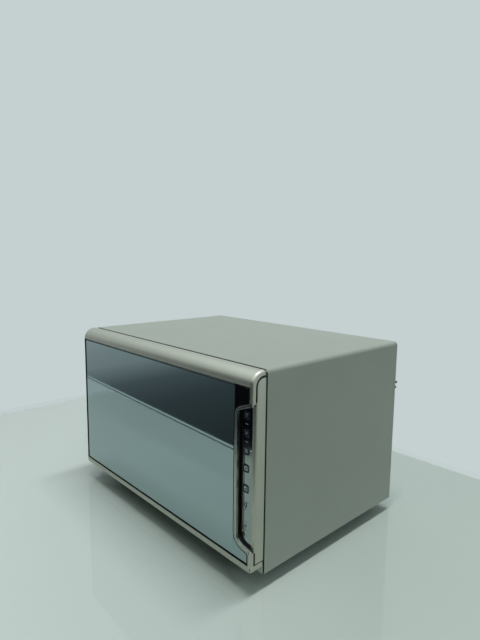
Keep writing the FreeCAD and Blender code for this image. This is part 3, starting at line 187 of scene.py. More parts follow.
finishes = {
    # polyester powder coat on steel, metallic warm grey: satin, with a fine orange peel about 0.7 mm across
    "powderCoat": plainMaterial("powder coated steel", {"Metallic": 0.1, "Specular IOR Level": 0.35}, {
        "size": 0.7, "strength": 0.10, "depth": 0.06, "drift": 60, "gloss": (0.46, 0.54),
        "colours": ("#a3aba1", "#abb3a9")}),
    # two-coat metallic paint on moulded ABS: warm silver, flake about 0.3 mm, smooth clear top coat
    "champagne": plainMaterial("champagne metallic paint", {
        "Metallic": 0.8, "Coat Weight": 0.15, "Coat Roughness": 0.2}, {
        "size": 0.35, "strength": 0.02, "depth": 0.02, "drift": 35, "gloss": (0.28, 0.36),
        "colours": ("#b2b3a6", "#babbae")}),
    "mirror": mirrorGlass(),
    # the same pane with no mirror coat over the display: black behind clear glass
    "display": plainMaterial("dark display glass", {"Specular IOR Level": 0.2}, {
        "size": 30, "strength": 0.01, "depth": 0.01, "drift": 25, "gloss": (0.03, 0.06),
        "colours": ("#030404", "#050606")}),
    "acrylic": silveredAcrylic(),
    # satin-chromed ABS: pale metal with a broad soft highlight
    "trim": plainMaterial("satin chrome on plastic", {"Metallic": 0.95}, {
        "size": 0.4, "strength": 0.02, "depth": 0.02, "drift": 15, "gloss": (0.16, 0.24),
        "colours": ("#b4b6ae", "#bec0b8")}),
    # EPDM extrusion: matt black, slightly dusty; the same black also paints shade in the seams, the holes and the
    # drain slot
    "sealAndShade": plainMaterial("black seal rubber and painted shade", {"Specular IOR Level": 0.05}, {
        "size": 0.5, "strength": 0.15, "depth": 0.05, "drift": 12, "gloss": (0.6, 0.75),
        "colours": ("#070808", "#0d0e0e")}),
    # moulded black ABS with a spark-eroded grain
    "black": plainMaterial("black moulded ABS", {"Specular IOR Level": 0.4}, {
        "size": 0.6, "strength": 0.2, "depth": 0.08, "drift": 20, "gloss": (0.45, 0.6),
        "colours": ("#131414", "#1b1c1c")}),
    # zinc-plated mild steel sheet: soft grey metal with cloudy spangle about 6 mm across
    "zinc": plainMaterial("zinc plated steel", {"Metallic": 0.9}, {
        "size": 6, "strength": 0.04, "depth": 0.05, "drift": 7, "gloss": (0.32, 0.48),
        "colours": ("#9aa0a0", "#b4b9b8")}),
    # baked epoxy cavity paint: pale warm grey with fine specks
    "enamel": plainMaterial("baked cavity paint", {"Coat Weight": 0.15, "Coat Roughness": 0.2}, {
        "size": 0.8, "strength": 0.12, "depth": 0.06, "drift": 3, "gloss": (0.28, 0.4),
        "colours": ("#a9aaa2", "#b7b8b0")}),
    # pressed soda-lime glass: clear, faintly green, a little wavy
    "glass": plainMaterial("clear pressed glass", {"Transmission Weight": 0.9, "IOR": 1.5}, {
        "size": 20, "strength": 0.03, "depth": 0.1, "drift": 30, "gloss": (0.02, 0.06),
        "colours": ("#dfeae6", "#e9f1ee")}),
    # natural PPS and PP mouldings: off-white and half matt
    "white": plainMaterial("natural moulded plastic", {"Subsurface Weight": 0.05}, {
        "size": 0.9, "strength": 0.12, "depth": 0.05, "drift": 20, "gloss": (0.42, 0.55),
        "colours": ("#cfcdc4", "#d9d7cf")}),
    # FR-4 with green solder mask: dark green, glossy in patches
    "board": plainMaterial("solder masked board", {"Coat Weight": 0.3}, {
        "size": 1.2, "strength": 0.1, "depth": 0.05, "drift": 4, "gloss": (0.3, 0.45),
        "colours": ("#1d4a2c", "#2a5f3a")}),
    # filled epoxy mouldings: dull black with a faint grain
    "device": plainMaterial("black component moulding", {}, {
        "size": 0.7, "strength": 0.15, "depth": 0.05, "drift": 8, "gloss": (0.35, 0.5),
        "colours": ("#101112", "#1a1b1c")}),
    # varnished transformer steel and copper: brown, with uneven gloss
    "winding": plainMaterial("varnished copper and iron", {"Metallic": 0.6}, {
        "size": 1.5, "strength": 0.3, "depth": 0.2, "drift": 10, "gloss": (0.35, 0.55),
        "colours": ("#6a4029", "#8a5a3a")}),
    # deep-drawn aluminium: bright, with soft cloudy gloss
    "aluminium": plainMaterial("drawn aluminium", {"Metallic": 1.0}, {
        "size": 1.0, "strength": 0.06, "depth": 0.04, "drift": 12, "gloss": (0.28, 0.4),
        "colours": ("#b4b6b8", "#c2c4c6")}),
    # phlogopite mica board: pale brown, layered flakes
    "mica": plainMaterial("mica board", {"Specular IOR Level": 0.45}, {
        "size": 4, "strength": 0.1, "depth": 0.05, "drift": 5, "gloss": (0.3, 0.5),
        "colours": ("#a3957c", "#b9ab92")}),
    # milky polycarbonate: pale, light goes a little way in
    "lamp": plainMaterial("diffused lamp lens", {"Subsurface Weight": 0.2}, {
        "size": 0.5, "strength": 0.05, "depth": 0.02, "drift": 3, "gloss": (0.2, 0.3),
        "colours": ("#c9d6c0", "#dbe4d2")}),
    # pad-printed ink: navy and slate symbols on the keys, pale dashes between them; the navy also paints shade on the
    # key rims
    "inkDarkAndRimShade": printingInk("navy printing ink and painted rim shade", ("#0e1320", "#141a29")),
    "inkSlate": printingInk("slate printing ink", ("#737b9b", "#8188a6")),
    "inkPale": printingInk("pale printing ink", ("#8d918b", "#9a9e97")),
    # moulded rubber: dark and dull
    "foot": plainMaterial("foot rubber", {"Specular IOR Level": 0.3}, {
        "size": 0.8, "strength": 0.2, "depth": 0.08, "drift": 8, "gloss": (0.65, 0.8),
        "colours": ("#151515", "#1e1e1d")}),
}
# which finish each material slot of the part gets
slotFinish = {
    "case_paint": "powderCoat", "plain_steel": "zinc", "enamel": "enamel", "door_silver": "champagne",
    "mirror_glass": "mirror", "bright_trim": "trim", "seal_black": "sealAndShade", "black_plastic": "black",
    "fascia_mirror": "acrylic", "clear_glass": "glass", "white_plastic": "white", "circuit_board": "board",
    "device_black": "device", "copper_iron": "winding", "can_aluminium": "aluminium", "mica": "mica",
    "lamp_white": "lamp", "foot_rubber": "foot",
}
nodeSlot = {row["node"]: row["material_slot"] for row in frame["record"]["subparts"]}
bodyOf = {name: body for body, members in frame["record"]["behaviour"]["bodies"].items() for name in members}


def coat(piece, material):
    piece.data.materials.clear()
    piece.data.materials.append(material)


def finishOf(name):
    return finishes[slotFinish[nodeSlot[name]]]


for name, node in nodes.items():
    coat(node, finishOf(name))
print("materials made:", len(finishes))


# Smooth copies of the CAD nodes that are seen from outside or through the open door
shading = {"sharp": 34, "flat": 0.6, "merge": 2e-6, "tiny": 1e-5}  # two angles in degrees, two lengths in metres
# limits of a normal along Y: square to the front, forwards, not forwards, along a wall of the recess, backwards
facingLimits = {"square": -0.99, "forwards": -0.9, "turned": -0.5, "wall": 0.3, "backwards": 0.5}


def cutAcross(work, place, normal):
    # new edges where a plane crosses the mesh
    bmesh.ops.bisect_plane(work, geom=work.verts[:] + work.edges[:] + work.faces[:], dist=1e-7,
                           plane_co=place, plane_no=normal)


def roundEdges(work, edges, radius):
    bmesh.ops.bevel(work, geom=edges, offset=radius, offset_type="OFFSET", segments=5, profile=0.5, affect="EDGES",
                    clamp_overlap=True)


# Trim: its rounded edge, how far its bright finish goes into the recess, the dark groove in its face, and how near
# its rear a wall of the recess ends; metres
trimShape = {"round": 0.0016, "bright": 0.0034, "groove": (0.0002, 0.0008), "nearRear": 0.0005}


def roundTrim(work):
    # the trim's inner edge is a soft round, so it catches light from the right and from above
    front, rear = (limit(vert.co.y for vert in work.verts) for limit in (min, max))

    def isWall(face):
        reach = max(vert.co.y for vert in face.verts)
        return face.normal.y > facingLimits["turned"] and reach > rear - trimShape["nearRear"]

    edges = [edge for edge in work.edges if any(isWall(face) for face in edge.link_faces)
             and all(vert.co.y < front + shading["tiny"] for vert in edge.verts)]
    roundEdges(work, edges, trimShape["round"])
    cutAcross(work, (0, front + trimShape["bright"], 0), (0, 1, 0))


# Door shell: its rounded corner, the depth of the black rim beside the pane, how far in from its edges the hollow
# behind its skin starts, and small steps off a face; metres
doorShape = {"round": 0.0042, "rim": 0.004, "low": 0.009, "high": 0.0065, "left": 0.003, "right": 0.0005,
             "step": 0.001, "slack": 0.0002, "skinSlack": 0.0001}


def roundCorner(work):
    # lower left corner of the door shell
    left, low = min(vert.co.x for vert in work.verts), min(vert.co.z for vert in work.verts)
    edges = [edge for edge in work.edges if all(
        vert.co.x < left + shading["tiny"] and vert.co.z < low + shading["tiny"] for vert in edge.verts)]
    roundEdges(work, edges, doorShape["round"])
    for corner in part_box("glass_gasket"):
        cutAcross(work, (0, 0, corner.z), (0, 0, 1))


# Control housing: strips of painted shade at its rear and at its foot, a dark strip beside the key strip, and its
# wall;
# metres. The last two are limits of a normal: along Z on a shelf, and along X on the painted side
housingShape = {"seam": 0.0012, "sill": 0.0008, "strip": 0.0012, "wall": 0.006, "shelf": 0.5, "side": 0.88}


def splitHousing(work):
    # where the paint stops and painted shade starts in the seams: above and below the finger recess, at the foot, and
    # just before the wrapper
    low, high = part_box("handle_trim")
    rear = max(vert.co.y for vert in work.verts) - housingShape["seam"]
    sill = min(vert.co.z for vert in work.verts) + housingShape["sill"]
    for level in (low.z, high.z, sill):
        cutAcross(work, (0, 0, level), (0, 0, 1))
    cutAcross(work, (0, rear, 0), (0, 1, 0))


fanBore = {"radius": 0.003, "room": 0.0003}  # metres


def clearBore(work):
    # room for the fan's shaft to turn in
    joints = frame["record"]["behaviour"]["joints"]
    place = next(joint["pos_m"] for joint in joints if joint["name"] == "fan_spin")
    for vert in work.verts:
        out = Vector((vert.co.x - place[0], 0, vert.co.z - place[2]))
        if out.length < fanBore["radius"]:
            vert.co += out.normalized() * fanBore["room"]


firstShapes = {"handle_trim": roundTrim, "door_frame": roundCorner, "control_housing": splitHousing,
               "fan_impeller": clearBore}


def smoothShade(mesh, angle=shading["sharp"]):
    mesh.polygons.foreach_set("use_smooth", [True] * len(mesh.polygons))
    mesh.set_sharp_from_angle(angle=math.radians(angle))


def makePlain(piece):
    # what the modifiers give becomes the piece's own mesh
    bpy.context.view_layer.update()
    finished = bpy.data.meshes.new_from_object(piece.evaluated_get(bpy.context.evaluated_depsgraph_get()))
    piece.modifiers.clear()
    piece.data = finished
    return piece


def smoothCopy(name, bevel):
    mesh = nodes[name].data.copy()
    mesh.name = name + "Skin"
    work = bmesh.new()
    work.from_mesh(mesh)
    bmesh.ops.remove_doubles(work, verts=work.verts, dist=shading["merge"])
    bmesh.ops.dissolve_limit(work, angle_limit=math.radians(shading["flat"]), verts=work.verts, edges=work.edges)
    if name in firstShapes:
        firstShapes[name](work)
    work.to_mesh(mesh)
    work.free()
    smoothShade(mesh)
    piece = addObject(name + "Skin", mesh)
    if bevel:
        edge = piece.modifiers.new("softEdge", "BEVEL")
        edge.width = bevel / 1000
        edge.segments = 2
        edge.limit_method = "ANGLE"
        edge.angle_limit = math.radians(shading["sharp"])
        edge.use_clamp_overlap = True
        edge.harden_normals = False
    piece.modifiers.new("weighNormals", "WEIGHTED_NORMAL").keep_sharp = True
    return makePlain(piece)


def settle(piece, body, material, replaced=()):
    if material is not None:
        coat(piece, material)
    for name in replaced:
        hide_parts(name)
    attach(piece, body)
    return piece


# edge rounding in millimetres for each node
softEdges = {
    "outer_wrapper": 0.25, "door_frame": 0.4, "control_housing": 0.35, "handle_trim": 0.35, "door_glass": 0.3,
    "glass_gasket": 0.15, "key_fascia": 0.2, "front_plate": 0.3, "rear_panel": 0.15, "base_plate": 0.2,
    "oven_cavity": 0.25, "choke_cover": 0.4, "choke_frame": 0.25, "inner_window": 0.4, "roller_ring": 0.4,
    "turntable_coupler": 0.3, "upper_hinge": 0.3, "lower_hinge": 0.3, "door_latch": 0.3, "status_lamp": 0.3,
    "fan_impeller": 0.3,
}
skins = {}
for name, bevel in softEdges.items():
    skins[name] = settle(smoothCopy(name, bevel), bodyOf[name], finishOf(name), [name])
print("smooth copies:", len(skins))


# Latch spring: a smooth copy that takes the place of the CAD node
def makeLatchSpring():
    name = "latch_spring"
    spring = smoothCopy(name, 0)
    coat(spring, finishOf(name))
    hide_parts(name)
    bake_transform(spring)


makeLatchSpring()
print("latch spring made")


# Small closed solids, drawn in the front plane and given a depth along Y
def roundedLoop(x, z, halfWidth, halfHeight, radius, steps=5):
    points = []
    for cx, cz, start in ((1, 1, 0), (-1, 1, 90), (-1, -1, 180), (1, -1, 270)):
        for step in range(steps + 1):
            angle = math.radians(start + 90 * step / steps)
            points.append((x + cx * (halfWidth - radius) + radius * math.cos(angle),
                           z + cz * (halfHeight - radius) + radius * math.sin(angle)))
    return points


def roundLoop(x, z, radius, count=24):
    return [(x + radius * math.cos(2 * math.pi * i / count), z + radius * math.sin(2 * math.pi * i / count))
            for i in range(count)]


def barLoop(x, z, length, width, turn):
    c, s = math.cos(math.radians(turn)), math.sin(math.radians(turn))
    corners = ((1, 1), (-1, 1), (-1, -1), (1, -1))
    return [(x + a * length / 2 * c - b * width / 2 * s, z + a * length / 2 * s + b * width / 2 * c)
            for a, b in corners]


def loft(work, loops, closed=False, place=Matrix()):
    # walls between loops of (x, z) points, each with its own depth y; caps unless the loops form a closed ring
    rings = [[work.verts.new(place @ Vector((x, y, z)) / 1000) for x, z in loop] for y, loop in loops]
    count = len(rings[0])
    pairs = list(zip(rings, rings[1:]))
    if closed:
        pairs.append((rings[-1], rings[0]))
    for near, far in pairs:
        for i in range(count):
            j = (i + 1) % count
            work.faces.new((near[i], near[j], far[j], far[i]))
    if not closed:
        work.faces.new(rings[0])
        work.faces.new(list(reversed(rings[-1])))


def lathe(work, profile, place, steps):
    # turns a profile of (radius, height) about the Z axis of place
    # a profile that starts away from the axis is closed on itself
    rings = []
    for radius, height in profile:
        count = steps if radius > 0 else 1
        rings.append([work.verts.new(place @ Vector((radius * math.cos(2 * math.pi * i / steps),
                                                     radius * math.sin(2 * math.pi * i / steps), height)) / 1000)
                      for i in range(count)])
    pairs = list(zip(rings, rings[1:]))
    if profile[0][0] > 0:
        pairs.append((rings[-1], rings[0]))
    for near, far in pairs:
        for i in range(steps):
            j = (i + 1) % steps
            corners = [near[i % len(near)], near[j % len(near)], far[j % len(far)], far[i % len(far)]]
            work.faces.new(list(dict.fromkeys(corners)))


def finishMesh(work, name, smoothAngle=shading["sharp"]):
    bmesh.ops.recalc_face_normals(work, faces=work.faces)
    mesh = bpy.data.meshes.new(name)
    work.to_mesh(mesh)
    work.free()
    smoothShade(mesh, smoothAngle)
    return addObject(name, mesh)


# Keys: rounded caps with a rim of painted shade and a plain printed symbol; sizes in millimetres, symbols about the
# key's middle
keyShape = {
    "half": 5.6, "corner": 2.2, "lip": 1.2, "lipRoom": 0.2, "lipThick": 1.0, "stem": 2.0, "stemCorner": 0.4,
    # behind the face, in from the side, corner: the cap's front, from its shallow dish outwards
    "front": ((0.04, 2.4, 0.6), (0.0, 0.3, 1.9), (0.08, 0.1, 2.1), (0.3, 0.0, 2.2)),
    "rim": ((0.35, 1.9), (2.6, 0.8)),  # in from the side, corner: the rim's outer and inner edge
    "plainKeys": (6, 7), "plainProud": 0.05, "plainWider": 0.25,  # keys without a rim lie flush in the strip
    "paleKeys": (1, 2, 3),
    "ink": (0.03, 0.1),  # in front of the face and behind it
}
keySymbols = {
    1: [("ring", 0, 0, 2.2, 1.6), ("bar", 0, 0.7, 1.4, 0.5, 90), ("bar", 0.5, 0, 1.1, 0.5, 0)],
    2: [("ring", 0, 0, 2.3, 1.7), ("disc", 0, 0, 0.9)],
    3: [("bar", 0, 1.5, 4.0, 0.7, 0), ("bar", 0, 0, 4.0, 0.7, 0), ("bar", 0, -1.5, 4.0, 0.7, 0)],
    4: [("bar", -0.9, 0, 4.2, 0.8, 62), ("bar", 0.9, 0, 4.2, 0.8, 62)],
    5: [("bar", -1.5, -0.8, 2.0, 0.8, 90), ("bar", 0, -0.3, 3.0, 0.8, 90), ("bar", 1.5, 0.2, 4.0, 0.8, 90)],
    6: [("ring", 0, 1.0, 2.7, 1.3), ("disc", 0, -3.0, 0.9)],
    7: [("ring", 0, 0, 2.0, 0.9)],
}


def flatRing(work, near, far, outer, inner):
    loft(work, [(near, outer), (far, outer), (far, inner), (near, inner)], True)


def makeKeys():
    stripFront, stripRear = (corner.y * 1000 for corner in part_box("key_fascia"))
    lip, thick = stripRear + keyShape["lipRoom"], keyShape["lipThick"]
    stem, edge = keyShape["stem"], keyShape["stemCorner"]
    proud, deep = keyShape["ink"]
    for number, symbol in keySymbols.items():
        name = f"key_{number}"
        low, high = (corner * 1000 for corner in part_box(name))
        x, z = (low.x + high.x) / 2, (low.z + high.z) / 2
        face, half = low.y, keyShape["half"]
        isPlain = number in keyShape["plainKeys"]
        if isPlain:
            face, half = max(face, stripFront - keyShape["plainProud"]), half + keyShape["plainWider"]
        wide = half + keyShape["lip"]
        steps = [(face + depth, half - inset, corner) for depth, inset, corner in keyShape["front"]]
        steps += [(lip, half, keyShape["corner"]), (lip, wide, edge), (lip + thick, wide, edge),
                  (lip + thick, stem, edge), (high.y, stem, edge)]
        work = bmesh.new()
        loft(work, [(y, roundedLoop(x, z, size, size, corner)) for y, size, corner in steps])
        settle(finishMesh(work, f"keyCap{number}"), name, finishes["acrylic"], [name])
        near, far = face - proud, face + deep
        # painted shade: a dark rim just inside the key's edge
        if not isPlain:
            work = bmesh.new()
            flatRing(work, near, far, *(roundedLoop(x, z, half - inset, half - inset, corner)
                                        for inset, corner in keyShape["rim"]))
            settle(finishMesh(work, f"keyRim{number}"), name, finishes["inkDarkAndRimShade"])
        work = bmesh.new()
        for kind, dx, dz, *rest in symbol:
            if kind == "ring":
                flatRing(work, near, far, *(roundLoop(x + dx, z + dz, radius) for radius in rest))
                continue
            loop = roundLoop(x + dx, z + dz, rest[0]) if kind == "disc" else barLoop(x + dx, z + dz, *rest)
            loft(work, [(near, loop), (far, loop)])
        ink = finishes["inkSlate" if number in keyShape["paleKeys"] else "inkDarkAndRimShade"]
        settle(finishMesh(work, f"keySymbol{number}"), name, ink)


makeKeys()
print("keys made")


# Pale dashes printed on the key strip, between the first three keys; millimetres
dashes = {"keys": ((1, 2), (2, 3)), "length": 5.5, "width": 0.9}


def makeDashes():
    work = bmesh.new()
    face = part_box("key_fascia")[0].y * 1000
    proud, deep = keyShape["ink"]
    for upper, lower in dashes["keys"]:
        above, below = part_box(f"key_{upper}"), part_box(f"key_{lower}")
        x = (above[0].x + above[1].x) / 2 * 1000
        z = (above[0].z + below[1].z) / 2 * 1000
        loop = barLoop(x, z, dashes["length"], dashes["width"], 0)
        loft(work, [(face - proud, loop), (face + deep, loop)])
    settle(finishMesh(work, "stripDashes"), "case", finishes["inkPale"])


makeDashes()
print("dashes printed")


# Door pane: mirror coat all over, except a black window over the display and a bare edge; millimetres
displayWindow = {"left": 199.0, "right": 226.0, "low": 230.0, "high": 266.0, "border": 1.5,
                 "leftBorder": 5.2, "lowBorder": 2.9}


def makeDisplayWindow():
    pane = skins["door_glass"]
    size = {label: value / 1000 for label, value in displayWindow.items()}
    left, right, low, high = (size[side] for side in ("left", "right", "low", "high"))
    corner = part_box("door_glass")[0]
    rimLeft, rimLow = corner.x + size["leftBorder"], corner.z + size["lowBorder"]
    work = bmesh.new()
    work.from_mesh(pane.data)
    for x in (left, right, rimLeft):
        cutAcross(work, (x, 0, 0), (1, 0, 0))
    for z in (low, high, rimLow):
        cutAcross(work, (0, 0, z), (0, 0, 1))
    front = [face for face in work.faces if face.normal.y < facingLimits["square"]]
    edge = bmesh.ops.inset_region(work, faces=front, thickness=size["border"], use_even_offset=True)
    window, bare = 1, 2  # places of their finishes on the pane
    for face in work.faces:
        middle, isFront = face.calc_center_median(), face.normal.y < facingLimits["forwards"]
        inWindow = left < middle.x < right and low < middle.z < high and isFront
        if inWindow or (middle.x > left and face.normal.y > facingLimits["backwards"]):
            face.material_index = window
        if isFront and (middle.x < rimLeft or middle.z < rimLow):
            face.material_index = bare
    for face in edge["faces"]:
        face.material_index = bare
    work.to_mesh(pane.data)
    work.free()
    pane.data.materials.append(finishes["display"])
    pane.data.materials.append(finishes["sealAndShade"])


makeDisplayWindow()


# Mouldings are painted on their outside only, so inside they are black; the finger recess is black too, and the black
# in the seams is painted shade
def paintInside(name, finish, isInside):
    skin = skins[name]
    skin.data.materials.append(finish)
    for face in skin.data.polygons:
        if isInside(face.center, face.normal):
            face.material_index = len(skin.data.materials) - 1


plateEdge = 0.997  # beyond this share of its size the front plate shows only in the seam


def paintInsides():
    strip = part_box("key_fascia")[0].x + housingShape["strip"]
    housingLow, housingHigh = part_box("control_housing")
    wall, rear = housingHigh.x - housingShape["wall"], housingHigh.y - housingShape["seam"]
    sill = housingLow.z + housingShape["sill"]
    trimLow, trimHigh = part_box("handle_trim")

    # painted shade: the strip at the housing's rear, its foot and the faces under the door that turn away from the
    # side are black
    def insideHousing(place, facing):
        hidden = place.x < strip or place.y > rear or place.z < sill or facing.y > facingLimits["backwards"]
        shelf = place.x < wall and abs(facing.z) > housingShape["shelf"]
        underDoor = not trimLow.z < place.z < trimHigh.z
        return hidden or shelf or (underDoor and facing.x < housingShape["side"])

    paintInside("control_housing", finishes["black"], insideHousing)

    def insideTrim(place, facing):
        depth, isWall = place.y - trimLow.y, abs(facing.y) < facingLimits["wall"]
        start, end = trimShape["groove"]
        groove = start < depth < end and (facing.y < facingLimits["forwards"] or isWall)
        return groove or facing.y > facingLimits["backwards"] or (depth > trimShape["bright"] and isWall)

    paintInside("handle_trim", finishes["black"], insideTrim)
    shellLow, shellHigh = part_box("door_frame")
    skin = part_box("choke_frame")[0].y - doorShape["slack"]
    sealLow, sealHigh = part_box("glass_gasket")

    def insideDoor(place, facing):
        # a point just off the face lies in the hollow behind the door's skin
        ahead = place + facing * doorShape["step"]
        return (place.y > skin - doorShape["skinSlack"] and ahead.y > skin
                and shellLow.z + doorShape["low"] < ahead.z < shellHigh.z - doorShape["high"]
                and shellLow.x + doorShape["left"] < ahead.x < shellHigh.x - doorShape["right"])

    paintInside("door_frame", finishes["black"], insideDoor)

    def besidePane(place, facing):
        # the rim left of the pane is black like its seal
        return (place.x < sealLow.x + doorShape["slack"] and place.y < shellLow.y + doorShape["rim"]
                and sealLow.z < place.z < sealHigh.z)

    paintInside("door_frame", finishes["sealAndShade"], besidePane)
    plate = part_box("front_plate")[1]

    # painted shade: the front plate's faces in the seam get the black seal finish
    def inSeam(place, facing):
        share = max(abs(place.x) / plate.x, place.z / plate.z)
        return share > plateEdge and facing.y > facingLimits["turned"]

    paintInside("front_plate", finishes["sealAndShade"], inSeam)


paintInsides()
print("display window and insides painted")


# Rear spacers: two ribs on a seat; (reach inwards, reach outwards) from the middle, in millimetres. The turn gives
# the rounded rear edge as shares of its radius: short of the rear, in from the side, corner
spacerShape = {"seat": (8.0, 8.0), "upper": (8.0, 14.8), "lower": (8.0, 13.6), "middle": 8.0, "rib": 1.5, "gap": 9.0,
               "seatThick": 1.2, "short": 0.02, "round": 0.7, "most": 0.8,
               "turn": ((1.0, 0.0, 1.0), (0.3, 0.3, 0.7), (0.0, 1.0, 0.3))}


def makeSpacers():
    work = bmesh.new()
    low, high = (corner * 1000 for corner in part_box("rear_spacers"))
    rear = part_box("rear_panel")[1].y * 1000
    rib, reach = spacerShape["rib"], high.y - rear - spacerShape["short"]
    shapes = (("seat", (low.z + high.z) / 2, (high.z - low.z) / 2, spacerShape["seatThick"]),
              ("upper", low.z + rib + spacerShape["gap"], rib, reach), ("lower", low.z + rib, rib, reach))
    for side in (-1, 1):
        x = side * (high.x - spacerShape["middle"])
        for label, z, half, depth in shapes:
            inner, outer = spacerShape[label]
            middle, width = x + side * (outer - inner) / 2, (inner + outer) / 2
            edge = min(spacerShape["round"], half * spacerShape["most"])
            loops = [(rear, roundedLoop(middle, z, width, half, edge))]
            for back, inset, corner in spacerShape["turn"]:
                loops.append((rear + depth - edge * back, roundedLoop(
                    middle, z, width - edge * inset, half - edge * inset, edge * corner)))
            loft(work, loops)
    settle(finishMesh(work, "rearSpacers"), "case", finishes["black"], ["rear_spacers"])


makeSpacers()


# Small drain slot on the rounded corner at the foot of the door's right end, drawn as a thin black shape of painted
# shade; millimetres and degrees
drainSlot = {"place": (229.22, -170.52, 26.2), "turn": 45, "width": 0.9, "height": 3.4, "depth": 0.4, "proud": 0.03,
             "round": 0.95}  # the last is a share of half its width


def makeDrainSlot():
    work = bmesh.new()
    place = Matrix.Translation(drainSlot["place"]) @ Matrix.Rotation(math.radians(drainSlot["turn"]), 4, "Z")
    half = drainSlot["width"] / 2
    loop = roundedLoop(0, 0, half, drainSlot["height"] / 2, half * drainSlot["round"])
    loft(work, [(-drainSlot["proud"], loop), (drainSlot["depth"], loop)], False, place)
    settle(finishMesh(work, "drainSlot"), "door", finishes["sealAndShade"])


makeDrainSlot()
print("rear spacers and drain slot made")


# Turned pieces: feet, cord bushing, glass turntable and its rollers; (radius, height) in millimetres
turnedShapes = {
    "foot": [(0, 1.6), (2.2, 1.6), (2.6, 0.5), (3.4, 0), (8.0, 0), (8.7, 0.3), (9.0, 1.0), (9.0, 3.4), (9.3, 3.9),
             (10.4, 4.1), (10.8, 4.5), (11.0, 5.2), (11.0, 9.4), (10.8, 10.0), (0, 10.0)],
    "bushing": [(4.0, -8.0), (7.4, -8.0), (8.0, -7.4), (8.0, 0.0), (10.6, 0.0), (11.0, 0.4), (11.0, 2.2), (10.6, 3.0),
                (9.6, 3.3), (7.0, 3.5), (6.2, 4.0), (4.6, 4.0), (4.0, 3.4)],
    "plate": [(0, 0.5), (80.0, 0.5), (81.0, 0.0), (93.0, 0.0), (95.5, 0.5), (119.6, 9.3), (121.8, 9.5), (122.4, 10.1),
              (122.3, 10.7), (121.5, 11.0), (119.0, 10.8), (117.0, 10.1), (96.0, 5.1), (92.0, 4.5), (0, 4.5)],
    "roller": [(2.1, -4.0), (6.6, -4.0), (7.2, -3.7), (7.45, -2.8), (7.5, 0.0), (7.45, 2.8), (7.2, 3.7), (6.6, 4.0),
               (5.6, 4.0), (5.4, 3.2), (3.6, 3.2), (3.4, 4.0), (2.1, 4.0)],
}
turnedSteps = {"small": 40, "plate": 128, "plateSmooth": 50}  # numbers of sides, and an angle in degrees


def middleOf(name):
    low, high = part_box(name)
    return (low + high) / 2 * 1000  # millimetres


def makeTurned():
    work = bmesh.new()
    low, high = (corner * 1000 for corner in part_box("feet"))
    radius = max(width for width, height in turnedShapes["foot"])
    for x in (low.x + radius, high.x - radius):
        for y in (low.y + radius, high.y - radius):
            lathe(work, turnedShapes["foot"], Matrix.Translation((x, y, 0)), turnedSteps["small"])
    settle(finishMesh(work, "rubberFeet"), "case", finishes["foot"], ["feet"])
    work = bmesh.new()
    middle = middleOf("cord_gland")
    seat = Matrix.Translation((middle.x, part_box("rear_panel")[1].y * 1000, middle.z))
    lathe(work, turnedShapes["bushing"], seat @ Matrix.Rotation(math.radians(-90), 4, "X"), turnedSteps["small"])
    settle(finishMesh(work, "cordBushing"), "case", finishes["black"], ["cord_gland"])
    work = bmesh.new()
    middle = middleOf("glass_plate")
    seat = Matrix.Translation((middle.x, middle.y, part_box("glass_plate")[0].z * 1000))
    lathe(work, turnedShapes["plate"], seat, turnedSteps["plate"])
    settle(finishMesh(work, "glassTurntable", turnedSteps["plateSmooth"]), "turntable",
           finishes["glass"], ["glass_plate"])
    for number in (1, 2, 3):
        work = bmesh.new()
        name = f"roller_{number}"
        centre = middleOf(name)
        out = Vector((centre.x - middle.x, centre.y - middle.y, 0))
        turn = out.to_track_quat("Z", "X").to_matrix().to_4x4()
        lathe(work, turnedShapes["roller"], Matrix.Translation(centre) @ turn, turnedSteps["small"])
        settle(finishMesh(work, f"rollerTyre{number}"), name, finishes["white"], [name])


makeTurned()
print("turned pieces made")


# Geometry Nodes: each tree has named sizes and ends as plain mesh
def startTree(name, sizes):
    tree = bpy.data.node_groups.new(name, "GeometryNodeTree")
    tree.interface.new_socket("Places", in_out="INPUT", socket_type="NodeSocketGeometry")
    for label, value in sizes.items():
        kind = "NodeSocketInt" if isinstance(value, int) else "NodeSocketFloat"
        tree.interface.new_socket(label, in_out="INPUT", socket_type=kind)
    tree.interface.new_socket("Mesh", in_out="OUTPUT", socket_type="NodeSocketGeometry")
    return tree, addNode(tree, "NodeGroupInput").outputs


def endTree(tree, shape, material):
    realized = addNode(tree, "GeometryNodeRealizeInstances", {}, {0: shape})
    coated = addNode(tree, "GeometryNodeSetMaterial", {"Material": material}, {0: realized})
    addNode(tree, "NodeGroupOutput", {}, {0: coated})


def runTree(tree, name, sizes, places=()):
    mesh = bpy.data.meshes.new(name)
    mesh.from_pydata([tuple(place) for place in places], [], [])
    piece = addObject(name, mesh)
    modifier = piece.modifiers.new(name, "NODES")
    modifier.node_group = tree
    for socket in tree.interface.items_tree:
        if socket.in_out == "INPUT" and socket.name in sizes:
            modifier[socket.identifier] = sizes[socket.name]
    return makePlain(piece)


# Door screen: hexagonal holes in a thin sheet; a grid with every other row shifted, its dual, each cell opened up
# the pitch and the sheet's thickness are in metres
screenSizes = {"Pitch": 0.0042, "Across": 66, "Up": 48, "Open": 0.76, "Sheet": 0.0005}


